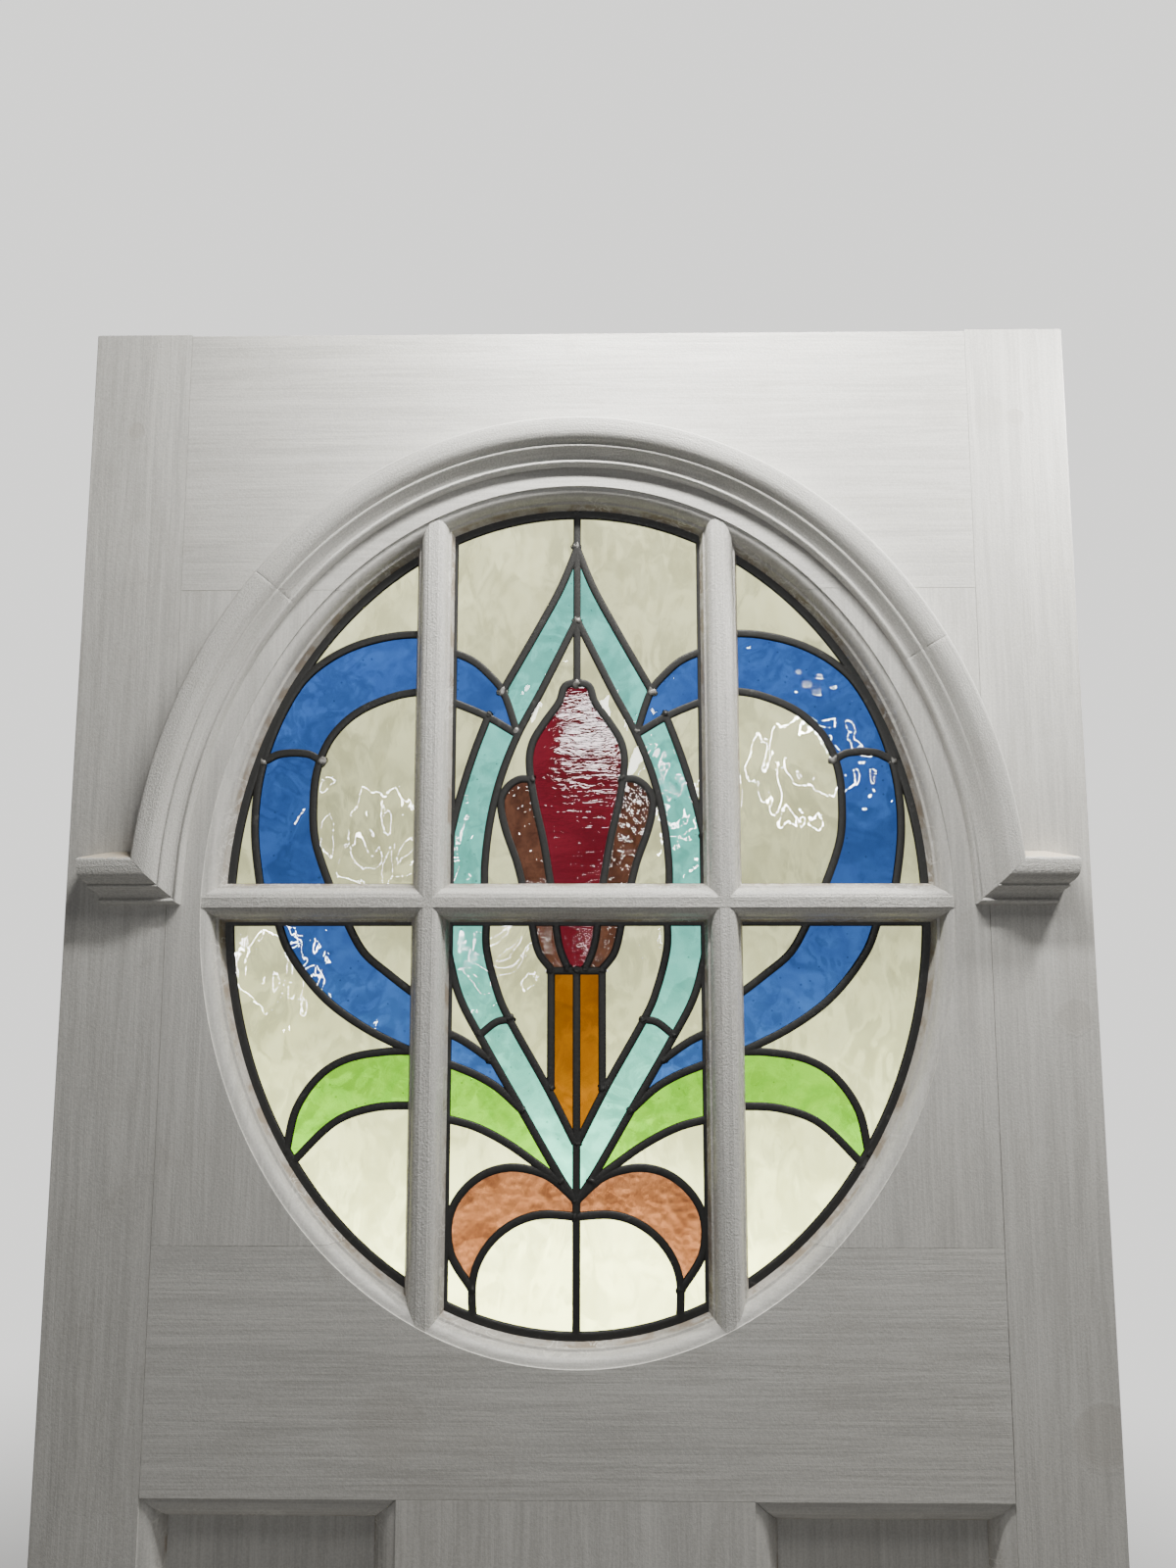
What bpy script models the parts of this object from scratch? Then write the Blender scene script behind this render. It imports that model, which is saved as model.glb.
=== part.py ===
"""Painted timber front door with an oval opening, a hood mould and six stained glass leaded lights.

Metres, +Z up. The door stands in the XZ plane with its outside face towards -Y. The origin is the
middle of the hinge edge, so the door runs from X = 0 to its width. Run it with
blender --background --python part.py, or from Blender's text editor.
"""
import math

import bmesh
import bpy
from mathutils import Vector

# The door
DOOR_WIDTH = 0.914
DOOR_HEIGHT = 2.134
DOOR_THICKNESS = 0.0445
GAP = 0.0003  # between neighbouring pieces

# Frame members, measured down from the top of the door
STILE_WIDTH = 0.091
STILE_HORN = 0.0015  # how far the stiles stand above the top rail
TOP_RAIL_DEPTH = 0.250
CHEEK_FOOT = 0.831
PANEL_TOP = 1.034
BOTTOM_RAIL_DEPTH = 0.230
MUNTIN_WIDTH = 0.300

# Oval opening, its moulded edge and the rebate behind it
OVAL_WIDTH = 0.671
OVAL_HEIGHT = 0.780
OVAL_DROP = 0.541  # from the top of the door to the oval's centre
OVAL_SIDES = 48
STICKING_WIDTH = 0.016
STICKING_DEPTH = 0.022
REBATE = 0.010

# Glazing bars
BAR_WIDTH = 0.0345
BAR_FILLET = 0.009
BAR_OFFSET = 0.1325  # of the upright bars, from the oval's centre
BAR_RISE = 0.004  # of the level bar, above the oval's centre

# Hood mould
HOOD_CLEARANCE = 0.0175  # from the oval's edge to the mould
HOOD_WIDTH = 0.047
HOOD_PROJECTION = 0.023
HOOD_SIDES = 36
HOOD_FOOT = 0.002  # underside of the ears, above the oval's centre
EAR_REACH = 0.4165  # from the oval's centre to where an ear's underside ends

# Lower panels
PANEL_THICKNESS = 0.012
PANEL_SINK = 0.016
PANEL_STICKING = 0.020
PANEL_TONGUE = 0.008  # the panel's edge inside its groove

# Leaded lights
LEAD_THICKNESS = 0.0055
LEAD_WIDTH = 0.007
GLASS_THICKNESS = 0.003
BORDER_SIGHT = 0.0072  # lead that shows inside the moulded edge of the oval
BAR_SIGHT = 0.0030  # lead that shows beside the bars of the middle lights
LEVEL_SIGHT = 0.0035  # lead that shows under the level bar
BEAD_THICKNESS = 0.012

# Shape of the moulded edges, as shares of their width and depth
STICKING_SHAPE = ((0.0, 0.0), (0.0, 0.06), (0.28, 0.14), (0.53, 0.34), (0.66, 0.55), (0.80, 0.58), (1.0, 1.0))
PANEL_SHAPE = ((0.0, 0.0), (0.0, 0.08), (0.40, 0.22), (0.72, 0.55), (0.80, 0.80), (1.0, 1.0))
# Section of the hood mould: share of its width from the oval outwards, share of its projection
HOOD_SHAPE = ((0.0, 0.0), (0.02, 0.20), (0.07, 0.26), (0.20, 0.47), (0.23, 0.46), (0.25, 0.57), (0.33, 0.60),
              (0.36, 0.55), (0.54, 0.84), (0.69, 0.95), (0.81, 1.0), (1.0, 0.0))

# The leads were drawn for an oval of this size and follow it if it changes
PATTERN_WIDTH = 0.671
PATTERN_HEIGHT = 0.780
PATTERN_UNIT = 0.001

# Centre lines of the leads, right-hand half, from the oval's centre: (across, up)
UPPER_SIDE_LEADS = {
    "sweep outer": ((138, 255), (170, 253.5), (205, 245), (235, 229.5), (258, 208), (278, 171), (291, 131),
                    (296, 95), (295.5, 60), (288, 10)),
    "sweep inner": ((138, 201), (170, 195.7), (205, 180), (228, 157), (240, 128), (243, 95), (240, 60),
                    (222, 10)),
    "sweep joint": ((237, 135), (250, 141.5), (275, 141.5), (291, 134)),
}
UPPER_MIDDLE_LEADS = {
    "stem": ((0, 374), (0, 208)),
    "flame outer": ((-1, 340), (15, 300), (36, 260), (69.5, 200)),
    "flame inner": ((0, 268), (33.5, 200), (54.5, 160), (70, 120), (79.5, 80), (84, 40), (84, 10)),
    "leaf edge": ((82, 178), (96, 140), (108, 100), (116, 66)),
    "wing upper": ((118, 238.5), (97, 229), (81, 215), (69, 200), (56, 163)),
    "wing lower": ((118, 191), (85, 177), (56, 160)),
    "bud": ((-2, 209), (11, 205), (16.5, 190), (30.5, 170), (41, 152), (44, 133), (39.5, 100), (30.5, 60),
            (22, 10)),
    "sepal": ((42, 117.5), (53, 117.5), (64, 110), (70, 97), (66, 73), (54.5, 40), (47, 10)),
}
LOWER_SIDE_LEADS = {
    "band upper": ((212, -8), (193.5, -40), (170, -60), (138, -84)),
    "band lower": ((274, -8), (261, -40), (229, -80), (190, -108), (138, -133)),
    "leaf upper": ((138, -128.5), (170, -128.7), (205, -135), (230, -150), (250, -179), (258, -216)),
    "leaf lower": ((138, -175.5), (180, -177.5), (215, -190), (254, -227)),
}
LOWER_MIDDLE_LEADS = {
    "stem": ((0, -57), (0, -378)),
    "stem side": ((23, -57), (23, -160)),
    "stem cap": ((-25, -57), (25, -57)),
    "bud tip": ((20, -8), (15.5, -36), (8, -55)),
    "sepal tip": ((42, -8), (34.5, -40), (22, -57)),
    "flame inner": ((82, -8), (81.5, -38), (70, -80), (60, -101), (26, -160), (1, -208)),
    "leaf edge": ((117, -38), (105.5, -80), (84, -120), (48.5, -180), (14, -238), (0, -258)),
    "leaf joint": ((60, -100), (72, -102.5), (87, -114)),
    "wing upper": ((118, -111), (100, -120), (78, -135)),
    "wing lower": ((118, -138), (90, -149), (70, -160.5), (48, -180)),
    "leaf lower": ((118, -186.5), (90, -194), (60, -209), (28, -231), (14, -241)),
    "curl outer": ((0, -257), (22, -238), (40, -231), (60, -229), (80, -234), (97, -246), (109, -263),
                   (113, -283), (109, -305), (91, -332)),
    "curl inner": ((-1, -270.5), (30, -269), (52, -275), (72, -289), (86, -309), (91, -330), (89, -368)),
}

# A point inside each coloured glass of the right-hand half, and its colour
UPPER_SIDE_GLASS = {"sweep_upper": ((215, 205), "blue"), "sweep_lower": ((268, 80), "blue")}
UPPER_MIDDLE_GLASS = {
    "bud": ((0, 100), "red"),
    "sepal": ((50, 90), "brown"),
    "flame_upper": ((30, 240), "turquoise"),
    "flame_lower": ((96, 80), "turquoise"),
    "wing": ((100, 207), "blue"),
}
LOWER_SIDE_GLASS = {"band": ((211, -60), "blue"), "leaf": ((205, -158), "green")}
LOWER_MIDDLE_GLASS = {
    "bud_tip": ((0, -30), "red"),
    "sepal_tip": ((28, -25), "brown"),
    "stem": ((12, -110), "amber"),
    "flame_foot": ((95, -50), "turquoise"),
    "flame_root": ((50, -140), "turquoise"),
    "wing_tip": ((98, -134), "blue"),
    "leaf_inner": ((80, -176), "green"),
    "curl": ((60, -254), "rose"),
}

COLOURS = {
    "timber": (0.56, 0.55, 0.52),
    "hood": (0.54, 0.53, 0.50),
    "lead": (0.09, 0.09, 0.085),
    "blue": (0.04, 0.17, 0.60),
    "turquoise": (0.30, 0.62, 0.56),
    "red": (0.24, 0.005, 0.015),
    "brown": (0.22, 0.07, 0.03),
    "amber": (0.58, 0.19, 0.01),
    "green": (0.30, 0.60, 0.13),
    "rose": (0.56, 0.19, 0.10),
}

METALLIC = {"timber": 0.0, "hood": 0.0, "lead": 0.8}  # of what isn't glass
SOLID_ROUGHNESS = 0.5
GLASS_ROUGHNESS = 0.1
GLASS_TRANSMISSION = 0.8

# Places worked out from the sizes above
CENTRE_X = DOOR_WIDTH / 2
TOP_Z = DOOR_HEIGHT / 2
CENTRE_Z = TOP_Z - OVAL_DROP
FRONT_Y = -DOOR_THICKNESS / 2
LEVEL_BAR_Z = CENTRE_Z + BAR_RISE
TONGUE_HALF = BAR_WIDTH / 2 - REBATE
REBATE_OFFSET = STICKING_WIDTH - REBATE
LEAD_FRONT = STICKING_DEPTH + GAP
LEAD_BACK = LEAD_FRONT + LEAD_THICKNESS
GLASS_FRONT = (LEAD_FRONT + LEAD_BACK - GLASS_THICKNESS) / 2
GLASS_BACK = GLASS_FRONT + GLASS_THICKNESS
BEAD_FRONT = LEAD_BACK + GAP
OVERSHOOT = 0.001  # how far a cutter runs past the face that it cuts
FRONT_FACE_ANGLE = 60  # degrees that a front face may lean


def depth_y(depth):
    """Y of a depth behind the front face."""
    return FRONT_Y + depth


def new_material(name, colour):
    """Finish of one colour: glass, unless it is named as something else."""
    glass = name not in METALLIC
    material = bpy.data.materials.new(name)
    material.use_nodes = True
    shader = material.node_tree.nodes["Principled BSDF"]
    shader.inputs["Base Color"].default_value = (*colour, 1.0)
    shader.inputs["Roughness"].default_value = GLASS_ROUGHNESS if glass else SOLID_ROUGHNESS
    shader.inputs["Metallic"].default_value = METALLIC.get(name, 0.0)
    shader.inputs["Transmission Weight"].default_value = GLASS_TRANSMISSION if glass else 0.0
    material.diffuse_color = (*colour, 1.0)
    return material


def mesh_object(name, bm, collection, material=None):
    """Object for a bmesh, which is freed."""
    bmesh.ops.recalc_face_normals(bm, faces=bm.faces)
    mesh = bpy.data.meshes.new(name)
    bm.to_mesh(mesh)
    bm.free()
    obj = bpy.data.objects.new(name, mesh)
    if material:
        mesh.materials.append(material)
    collection.objects.link(obj)
    return obj


def as_cutter(obj):
    obj.hide_render = True
    obj.display_type = "WIRE"
    return obj


def cut(obj, cutter, operation="DIFFERENCE"):
    """Boolean with one object, or with every object of a collection."""
    modifier = obj.modifiers.new(operation.title(), "BOOLEAN")
    modifier.operation = operation
    modifier.solver = "EXACT"
    if isinstance(cutter, bpy.types.Collection):
        modifier.operand_type = "COLLECTION"
        modifier.collection = cutter
    else:
        modifier.object = cutter


def evaluated_bmesh(obj):
    """What an object's modifiers make of it."""
    depsgraph = bpy.context.evaluated_depsgraph_get()
    depsgraph.update()
    bm = bmesh.new()
    bm.from_object(obj, depsgraph)
    return bm


def box_bmesh(low, high):
    bm = bmesh.new()
    bmesh.ops.create_cube(bm, size=1.0)
    size = [b - a for a, b in zip(low, high)]
    bmesh.ops.scale(bm, vec=size, verts=bm.verts)
    bmesh.ops.translate(bm, vec=[(a + b) / 2 for a, b in zip(low, high)], verts=bm.verts)
    return bm


def loft(bm, rings):
    """Closed skin through rings of points, which all have the same count, with flat ends."""
    skin = [[bm.verts.new(point) for point in ring] for ring in rings]
    count = len(skin[0])
    for near, far in zip(skin, skin[1:]):
        for i in range(count):
            j = (i + 1) % count
            bm.faces.new((near[i], near[j], far[j], far[i]))
    bm.faces.new(skin[0])
    bm.faces.new(skin[-1])
    return bm


def oval_point(angle, offset):
    """X and Z of a point on the curve that runs parallel to the oval, offset inwards."""
    half_width, half_height = OVAL_WIDTH / 2, OVAL_HEIGHT / 2
    normal = Vector((math.cos(angle) / half_width, math.sin(angle) / half_height)).normalized()
    return (CENTRE_X + half_width * math.cos(angle) - offset * normal.x,
            CENTRE_Z + half_height * math.sin(angle) - offset * normal.y)


def oval_ring(offset, depth):
    ring = []
    for side in range(OVAL_SIDES):
        x, z = oval_point(math.tau * side / OVAL_SIDES, offset)
        ring.append((x, depth_y(depth), z))
    return ring


def oval_cutter(name, collection, clearance=0.0):
    """The space inside the oval: its moulded edge, then the wider rebate behind."""
    rings = [oval_ring(clearance, -OVERSHOOT)]
    rings += [oval_ring(clearance + share_in * STICKING_WIDTH, share_down * STICKING_DEPTH)
              for share_in, share_down in STICKING_SHAPE]
    rings += [oval_ring(clearance + REBATE_OFFSET, depth)
              for depth in (STICKING_DEPTH, DOOR_THICKNESS + OVERSHOOT)]
    return as_cutter(mesh_object(name, loft(bmesh.new(), rings), collection))


def panel_ring(x0, x1, z0, z1, inset, depth):
    y = depth_y(depth)
    return [(x, y, z) for x, z in rectangle(x0 + inset, x1 - inset, z0 + inset, z1 - inset)]


def panel_space(name, opening, collection):
    """Space of one sunk panel: moulded front edge, groove for the panel, plain back."""
    groove = PANEL_STICKING - PANEL_TONGUE - GAP
    groove_back = PANEL_SINK + PANEL_THICKNESS + 2 * GAP
    steps = [(0.0, -OVERSHOOT)]
    steps += [(share_in * PANEL_STICKING, share_down * PANEL_SINK) for share_in, share_down in PANEL_SHAPE]
    steps += [(groove, PANEL_SINK), (groove, groove_back),
              (PANEL_STICKING, groove_back), (PANEL_STICKING, DOOR_THICKNESS + OVERSHOOT)]
    rings = [panel_ring(*opening, inset, depth) for inset, depth in steps]
    return as_cutter(mesh_object(name, loft(bmesh.new(), rings), collection))


def add_panel(name, opening, collection, material):
    x0, x1, z0, z1 = opening
    edge = PANEL_STICKING - PANEL_TONGUE
    low = (x0 + edge, depth_y(PANEL_SINK + GAP), z0 + edge)
    high = (x1 - edge, depth_y(PANEL_SINK + PANEL_THICKNESS + GAP), z1 - edge)
    return mesh_object(name, box_bmesh(low, high), collection, material)


def add_board(name, outline, collection, material):
    """Frame member of the door's full thickness, from its outline in X and Z."""
    rings = [[(x, y, z) for x, z in outline] for y in (FRONT_Y, FRONT_Y + DOOR_THICKNESS)]
    return mesh_object(name, loft(bmesh.new(), rings), collection, material)


def rectangle(x0, x1, z0, z1):
    return [(x0, z0), (x1, z0), (x1, z1), (x0, z1)]


def add_frame(parts, cutters, material):
    """Stiles, rails, cheeks, muntin and the two sunk panels.

    Round each panel the members have a lip for the moulded edge, mitred in the corners.
    """
    foot_z = -TOP_Z
    left, right = STILE_WIDTH + GAP, DOOR_WIDTH - STILE_WIDTH - GAP
    cheek_top, cheek_foot = TOP_Z - TOP_RAIL_DEPTH, TOP_Z - CHEEK_FOOT
    panel_top, panel_foot = TOP_Z - PANEL_TOP, foot_z + BOTTOM_RAIL_DEPTH
    muntin_left, muntin_right = CENTRE_X - MUNTIN_WIDTH / 2, CENTRE_X + MUNTIN_WIDTH / 2
    lip = PANEL_STICKING

    stile_lip = STILE_WIDTH + lip
    stile = [(0.0, foot_z), (STILE_WIDTH, foot_z), (STILE_WIDTH, panel_foot), (stile_lip, panel_foot + lip),
             (stile_lip, panel_top - lip), (STILE_WIDTH, panel_top), (STILE_WIDTH, TOP_Z + STILE_HORN),
             (0.0, TOP_Z + STILE_HORN)]
    hinge_stile = add_board("hinge_stile", stile, parts, material)
    lock_stile = add_board("lock_stile", [(DOOR_WIDTH - x, z) for x, z in stile], parts, material)

    def rail_edge(z, turn):
        """Edge of a rail along both panels; turn is -1 where the lip hangs down and 1 where it stands up."""
        half = [(left, z), (left + lip, z + turn * lip), (muntin_left - GAP - lip, z + turn * lip),
                (muntin_left - GAP, z)]
        return half + [(DOOR_WIDTH - x, z) for x, z in reversed(half)]

    lock_top = cheek_foot - GAP
    lock_rail = add_board("lock_rail", rail_edge(panel_top, -1) + [(right, lock_top), (left, lock_top)],
                          parts, material)
    bottom_rail = add_board("bottom_rail", rail_edge(panel_foot, 1) + [(right, foot_z), (left, foot_z)],
                            parts, material)
    side = [(muntin_right, panel_foot + GAP), (muntin_right + lip, panel_foot + lip + GAP),
            (muntin_right + lip, panel_top - lip - GAP), (muntin_right, panel_top - GAP)]
    other_side = [(DOOR_WIDTH - x, z) for x, z in reversed(side)]
    muntin = add_board("centre_muntin", side + other_side, parts, material)
    top_rail = add_board("top_rail", rectangle(left, right, cheek_top, TOP_Z), parts, material)
    cheek = rectangle(left, CENTRE_X, cheek_foot, cheek_top - GAP)
    left_cheek = add_board("left_cheek", cheek, parts, material)
    right_cheek = add_board("right_cheek", [(DOOR_WIDTH - x, z) for x, z in cheek], parts, material)

    oval = oval_cutter("oval_space", cutters)
    for member in (hinge_stile, lock_stile, top_rail, lock_rail, left_cheek, right_cheek):
        cut(member, oval)

    openings = {"left": (STILE_WIDTH, muntin_left, panel_foot, panel_top),
                "right": (muntin_right, DOOR_WIDTH - STILE_WIDTH, panel_foot, panel_top)}
    for side, opening in openings.items():
        space = panel_space(f"{side}_panel_space", opening, cutters)
        for member in (hinge_stile if side == "left" else lock_stile, lock_rail, bottom_rail, muntin):
            cut(member, space)
        add_panel(f"{side}_panel", opening, parts, material)


def bar_section(grow=0.0, front=0.0):
    """Half section of a glazing bar's moulded front: distance from its middle, depth."""
    mould = BAR_WIDTH / 2 - BAR_FILLET / 2
    section = [(BAR_FILLET / 2 + grow, front)]
    section += [(BAR_FILLET / 2 + share_in * mould + grow, share_down * STICKING_DEPTH)
                for share_in, share_down in STICKING_SHAPE[1:]]
    return section


def bar_bmesh(section, along, centre, start, end):
    """Prism of a half section and its mirror image, level or upright."""
    outline = section + [(-across, depth) for across, depth in reversed(section)]
    rings = []
    for reach in (start, end):
        if along == "X":
            rings.append([(reach, depth_y(depth), centre + across) for across, depth in outline])
        else:
            rings.append([(centre + across, depth_y(depth), reach) for across, depth in outline])
    return loft(bmesh.new(), rings)


def add_bars(parts, cutters, material):
    """One level bar in front, two upright bars halved behind it, all scribed to the oval's edge."""
    tongue = [(TONGUE_HALF, STICKING_DEPTH), (TONGUE_HALF, DOOR_THICKNESS)]
    whole = bar_section() + tongue
    left_end, right_end = CENTRE_X - OVAL_WIDTH / 2, CENTRE_X + OVAL_WIDTH / 2
    foot_end, top_end = CENTRE_Z - OVAL_HEIGHT / 2, CENTRE_Z + OVAL_HEIGHT / 2
    oval = oval_cutter("bar_space", cutters, clearance=GAP)

    level = mesh_object("level_bar", bar_bmesh(whole, "X", LEVEL_BAR_Z, left_end, right_end), parts, material)
    cut(level, oval, "INTERSECT")
    front = bar_section(grow=GAP, front=-OVERSHOOT) + [(BAR_WIDTH / 2 + GAP, STICKING_DEPTH + GAP)]
    front_space = as_cutter(mesh_object(
        "level_bar_space", bar_bmesh(front, "X", LEVEL_BAR_Z, left_end, right_end), cutters))

    for side, centre in (("left", CENTRE_X - BAR_OFFSET), ("right", CENTRE_X + BAR_OFFSET)):
        bar = mesh_object(f"{side}_bar", bar_bmesh(whole, "Z", centre, foot_end, top_end), parts, material)
        cut(bar, oval, "INTERSECT")
        cut(bar, front_space)
        notch = box_bmesh(
            (centre - TONGUE_HALF - GAP, depth_y(STICKING_DEPTH), LEVEL_BAR_Z - BAR_WIDTH),
            (centre + TONGUE_HALF + GAP, depth_y(DOOR_THICKNESS + OVERSHOOT), LEVEL_BAR_Z + BAR_WIDTH))
        cut(level, as_cutter(mesh_object(f"{side}_bar_notch", notch, cutters)))


def hood_section():
    """Distance outside the oval, and projection from the face."""
    return [(HOOD_CLEARANCE + across * HOOD_WIDTH, GAP + out * HOOD_PROJECTION) for across, out in HOOD_SHAPE]


def mitre_point(across):
    """X from the oval's centre, and Z, on the 45 degree mitre between the arch and an ear."""
    z = CENTRE_Z + HOOD_FOOT + across - HOOD_CLEARANCE
    turn = math.asin((z - CENTRE_Z) / (OVAL_HEIGHT / 2 + across))
    return oval_point(turn, -across)[0] - CENTRE_X, z


def hood_arch_bmesh():
    """The mould swept over the upper half of the oval, each end cut on its ear's mitre."""
    section = hood_section()
    right_end, left_end = [], []
    for across, out in section:
        x, z = mitre_point(across)
        right_end.append((CENTRE_X + x, FRONT_Y - out, z))
        left_end.append((CENTRE_X - x, FRONT_Y - out, z))
    mitre_top = right_end[-1][2]
    between = []
    for side in range(1, HOOD_SIDES):
        angle = math.pi * side / HOOD_SIDES
        ring = []
        for across, out in section:
            x, z = oval_point(angle, -across)
            ring.append((x, FRONT_Y - out, z))
        if min(z for _, _, z in ring) > mitre_top:
            between.append(ring)
    return loft(bmesh.new(), [right_end] + between + [left_end])


def ear_bmesh(sign):
    """Level ear from the arch's mitre to a return at its far end; sign is -1 on the left."""
    mitre, nose, wall = [], [], []
    for across, out in hood_section():
        x, z = mitre_point(across)
        reach = EAR_REACH + out - GAP
        mitre.append((CENTRE_X + sign * (x + GAP), FRONT_Y - out, z))
        nose.append((CENTRE_X + sign * reach, FRONT_Y - out, z))
        wall.append((CENTRE_X + sign * reach, FRONT_Y - GAP, z))
    bm = loft(bmesh.new(), [mitre, nose, wall])
    bmesh.ops.remove_doubles(bm, verts=bm.verts, dist=GAP / 10)
    bmesh.ops.dissolve_degenerate(bm, dist=GAP / 10, edges=bm.edges)
    return bm


def add_hood(parts, material):
    mesh_object("hood_arch", hood_arch_bmesh(), parts, material)
    for side, sign in (("left", -1), ("right", 1)):
        mesh_object(f"hood_return_{side}", ear_bmesh(sign), parts, material)


def light_bmesh(column, row, inset, bar_inset, level_inset, front, back):
    """Plate of one light: the oval, inset, cut off beside the bars. Column -1, 0, 1; row -1, 1."""
    bm = loft(bmesh.new(), [oval_ring(inset, front), oval_ring(inset, back)])
    planes = [((0, 0, LEVEL_BAR_Z + row * level_inset), (0, 0, -row))]
    if column:
        planes.append(((CENTRE_X + column * (BAR_OFFSET + bar_inset), 0, 0), (-column, 0, 0)))
    else:
        for sign in (-1, 1):
            planes.append(((CENTRE_X + sign * (BAR_OFFSET - bar_inset), 0, 0), (sign, 0, 0)))
    for point, normal in planes:
        geometry = bm.verts[:] + bm.edges[:] + bm.faces[:]
        result = bmesh.ops.bisect_plane(bm, geom=geometry, plane_co=point, plane_no=normal, clear_outer=True)
        rim = [item for item in result["geom_cut"] if isinstance(item, bmesh.types.BMEdge)]
        bmesh.ops.contextual_create(bm, geom=rim)
    return bm


def lead_strip(name, points, mirror, width, front, back, collection):
    """One lead as a strip along its centre line: a ribbon that Solidify widens."""
    scale_x, scale_z = OVAL_WIDTH / PATTERN_WIDTH, OVAL_HEIGHT / PATTERN_HEIGHT
    curve = bpy.data.curves.new(name, "CURVE")
    curve.dimensions = "2D"
    curve.fill_mode = "NONE"
    curve.extrude = (back - front) / 2
    spline = curve.splines.new("POLY")
    spline.points.add(len(points) - 1)
    for spot, (across, up) in zip(spline.points, points):
        x = CENTRE_X + mirror * across * PATTERN_UNIT * scale_x
        spot.co = (x, CENTRE_Z + up * PATTERN_UNIT * scale_z, 0.0, 1.0)
    ribbon = bpy.data.objects.new(name, curve)
    ribbon.rotation_euler.x = math.pi / 2
    ribbon.location.y = depth_y((front + back) / 2)
    collection.objects.link(ribbon)
    bpy.context.view_layer.update()
    depsgraph = bpy.context.evaluated_depsgraph_get()
    mesh = bpy.data.meshes.new_from_object(ribbon.evaluated_get(depsgraph))
    mesh.transform(ribbon.matrix_world)
    bpy.data.objects.remove(ribbon)
    bpy.data.curves.remove(curve)
    strip = bpy.data.objects.new(name, mesh)
    solidify = strip.modifiers.new("Width", "SOLIDIFY")
    solidify.thickness = width
    solidify.offset = 0.0
    solidify.use_even_offset = True
    collection.objects.link(strip)
    return as_cutter(strip)


def islands(bm):
    """Sets of connected faces."""
    groups, seen = [], set()
    for face in bm.faces:
        if face in seen:
            continue
        group, front = [], [face]
        seen.add(face)
        while front:
            current = front.pop()
            group.append(current)
            for edge in current.edges:
                for other in edge.link_faces:
                    if other not in seen:
                        seen.add(other)
                        front.append(other)
        groups.append(group)
    return groups


def faces_front(face):
    return face.normal.y < -math.cos(math.radians(FRONT_FACE_ANGLE))


def holds_point(faces, x, z):
    """Whether the front of an island covers a point, by counting outline crossings."""
    crossings = 0
    for face in faces:
        if not faces_front(face):
            continue
        for edge in face.edges:
            if any(other is not face and faces_front(other) for other in edge.link_faces):
                continue
            a, b = edge.verts[0].co, edge.verts[1].co
            if (a.z > z) != (b.z > z) and x < a.x + (z - a.z) * (b.x - a.x) / (b.z - a.z):
                crossings += 1
    return crossings % 2 == 1


def only_faces(bm, keep):
    """Copy of a bmesh with only the faces at the given indices."""
    copy = bm.copy()
    copy.faces.ensure_lookup_table()
    wanted = set(keep)
    others = [face for face in copy.faces if face.index not in wanted]
    bmesh.ops.delete(copy, geom=others, context="FACES")
    return copy


def squeeze(bm, front, back):
    """Moves a flat prism's two sides to new depths."""
    middle_y = depth_y((LEAD_FRONT + LEAD_BACK) / 2)
    for vert in bm.verts:
        vert.co.y = depth_y(front if vert.co.y < middle_y else back)
    return bm


def cut_glass(name, plate, leads, width_extra, front, back, cutters):
    """What a light's leads leave of its plate, as one bmesh with an island for each glass."""
    strips = bpy.data.collections.new(f"{name} leads")
    cutters.children.link(strips)
    for lead, points in leads.items():
        for mirror in leads_sides(name, points):
            lead_strip(f"{name} {lead} {mirror}", points, mirror, LEAD_WIDTH + width_extra,
                       front - OVERSHOOT, back + OVERSHOOT, strips)
    cut(plate, strips)
    bpy.context.view_layer.update()
    return evaluated_bmesh(plate)


def leads_sides(name, points):
    """Which sides a lead is drawn on: both in a middle light, unless it lies on the middle line."""
    if "middle" in name:
        centred = sum(across for across, _ in points) == 0
        return (1,) if centred else (1, -1)
    return (-1,) if "left" in name else (1,)


def glass_seeds(name, glass):
    """Name, place and colour of each coloured glass in a light, both sides of a middle light."""
    scale_x = PATTERN_UNIT * OVAL_WIDTH / PATTERN_WIDTH
    scale_z = PATTERN_UNIT * OVAL_HEIGHT / PATTERN_HEIGHT
    for piece, ((across, up), colour) in glass.items():
        sides = (1,) if across == 0 else leads_sides(name, ((across, up), (across, up)))
        for mirror in sides:
            suffix = "" if across == 0 else ("_right" if mirror > 0 else "_left")
            x, z = CENTRE_X + mirror * across * scale_x, CENTRE_Z + up * scale_z
            yield f"{piece}_glass{suffix}", x, z, colour


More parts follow.
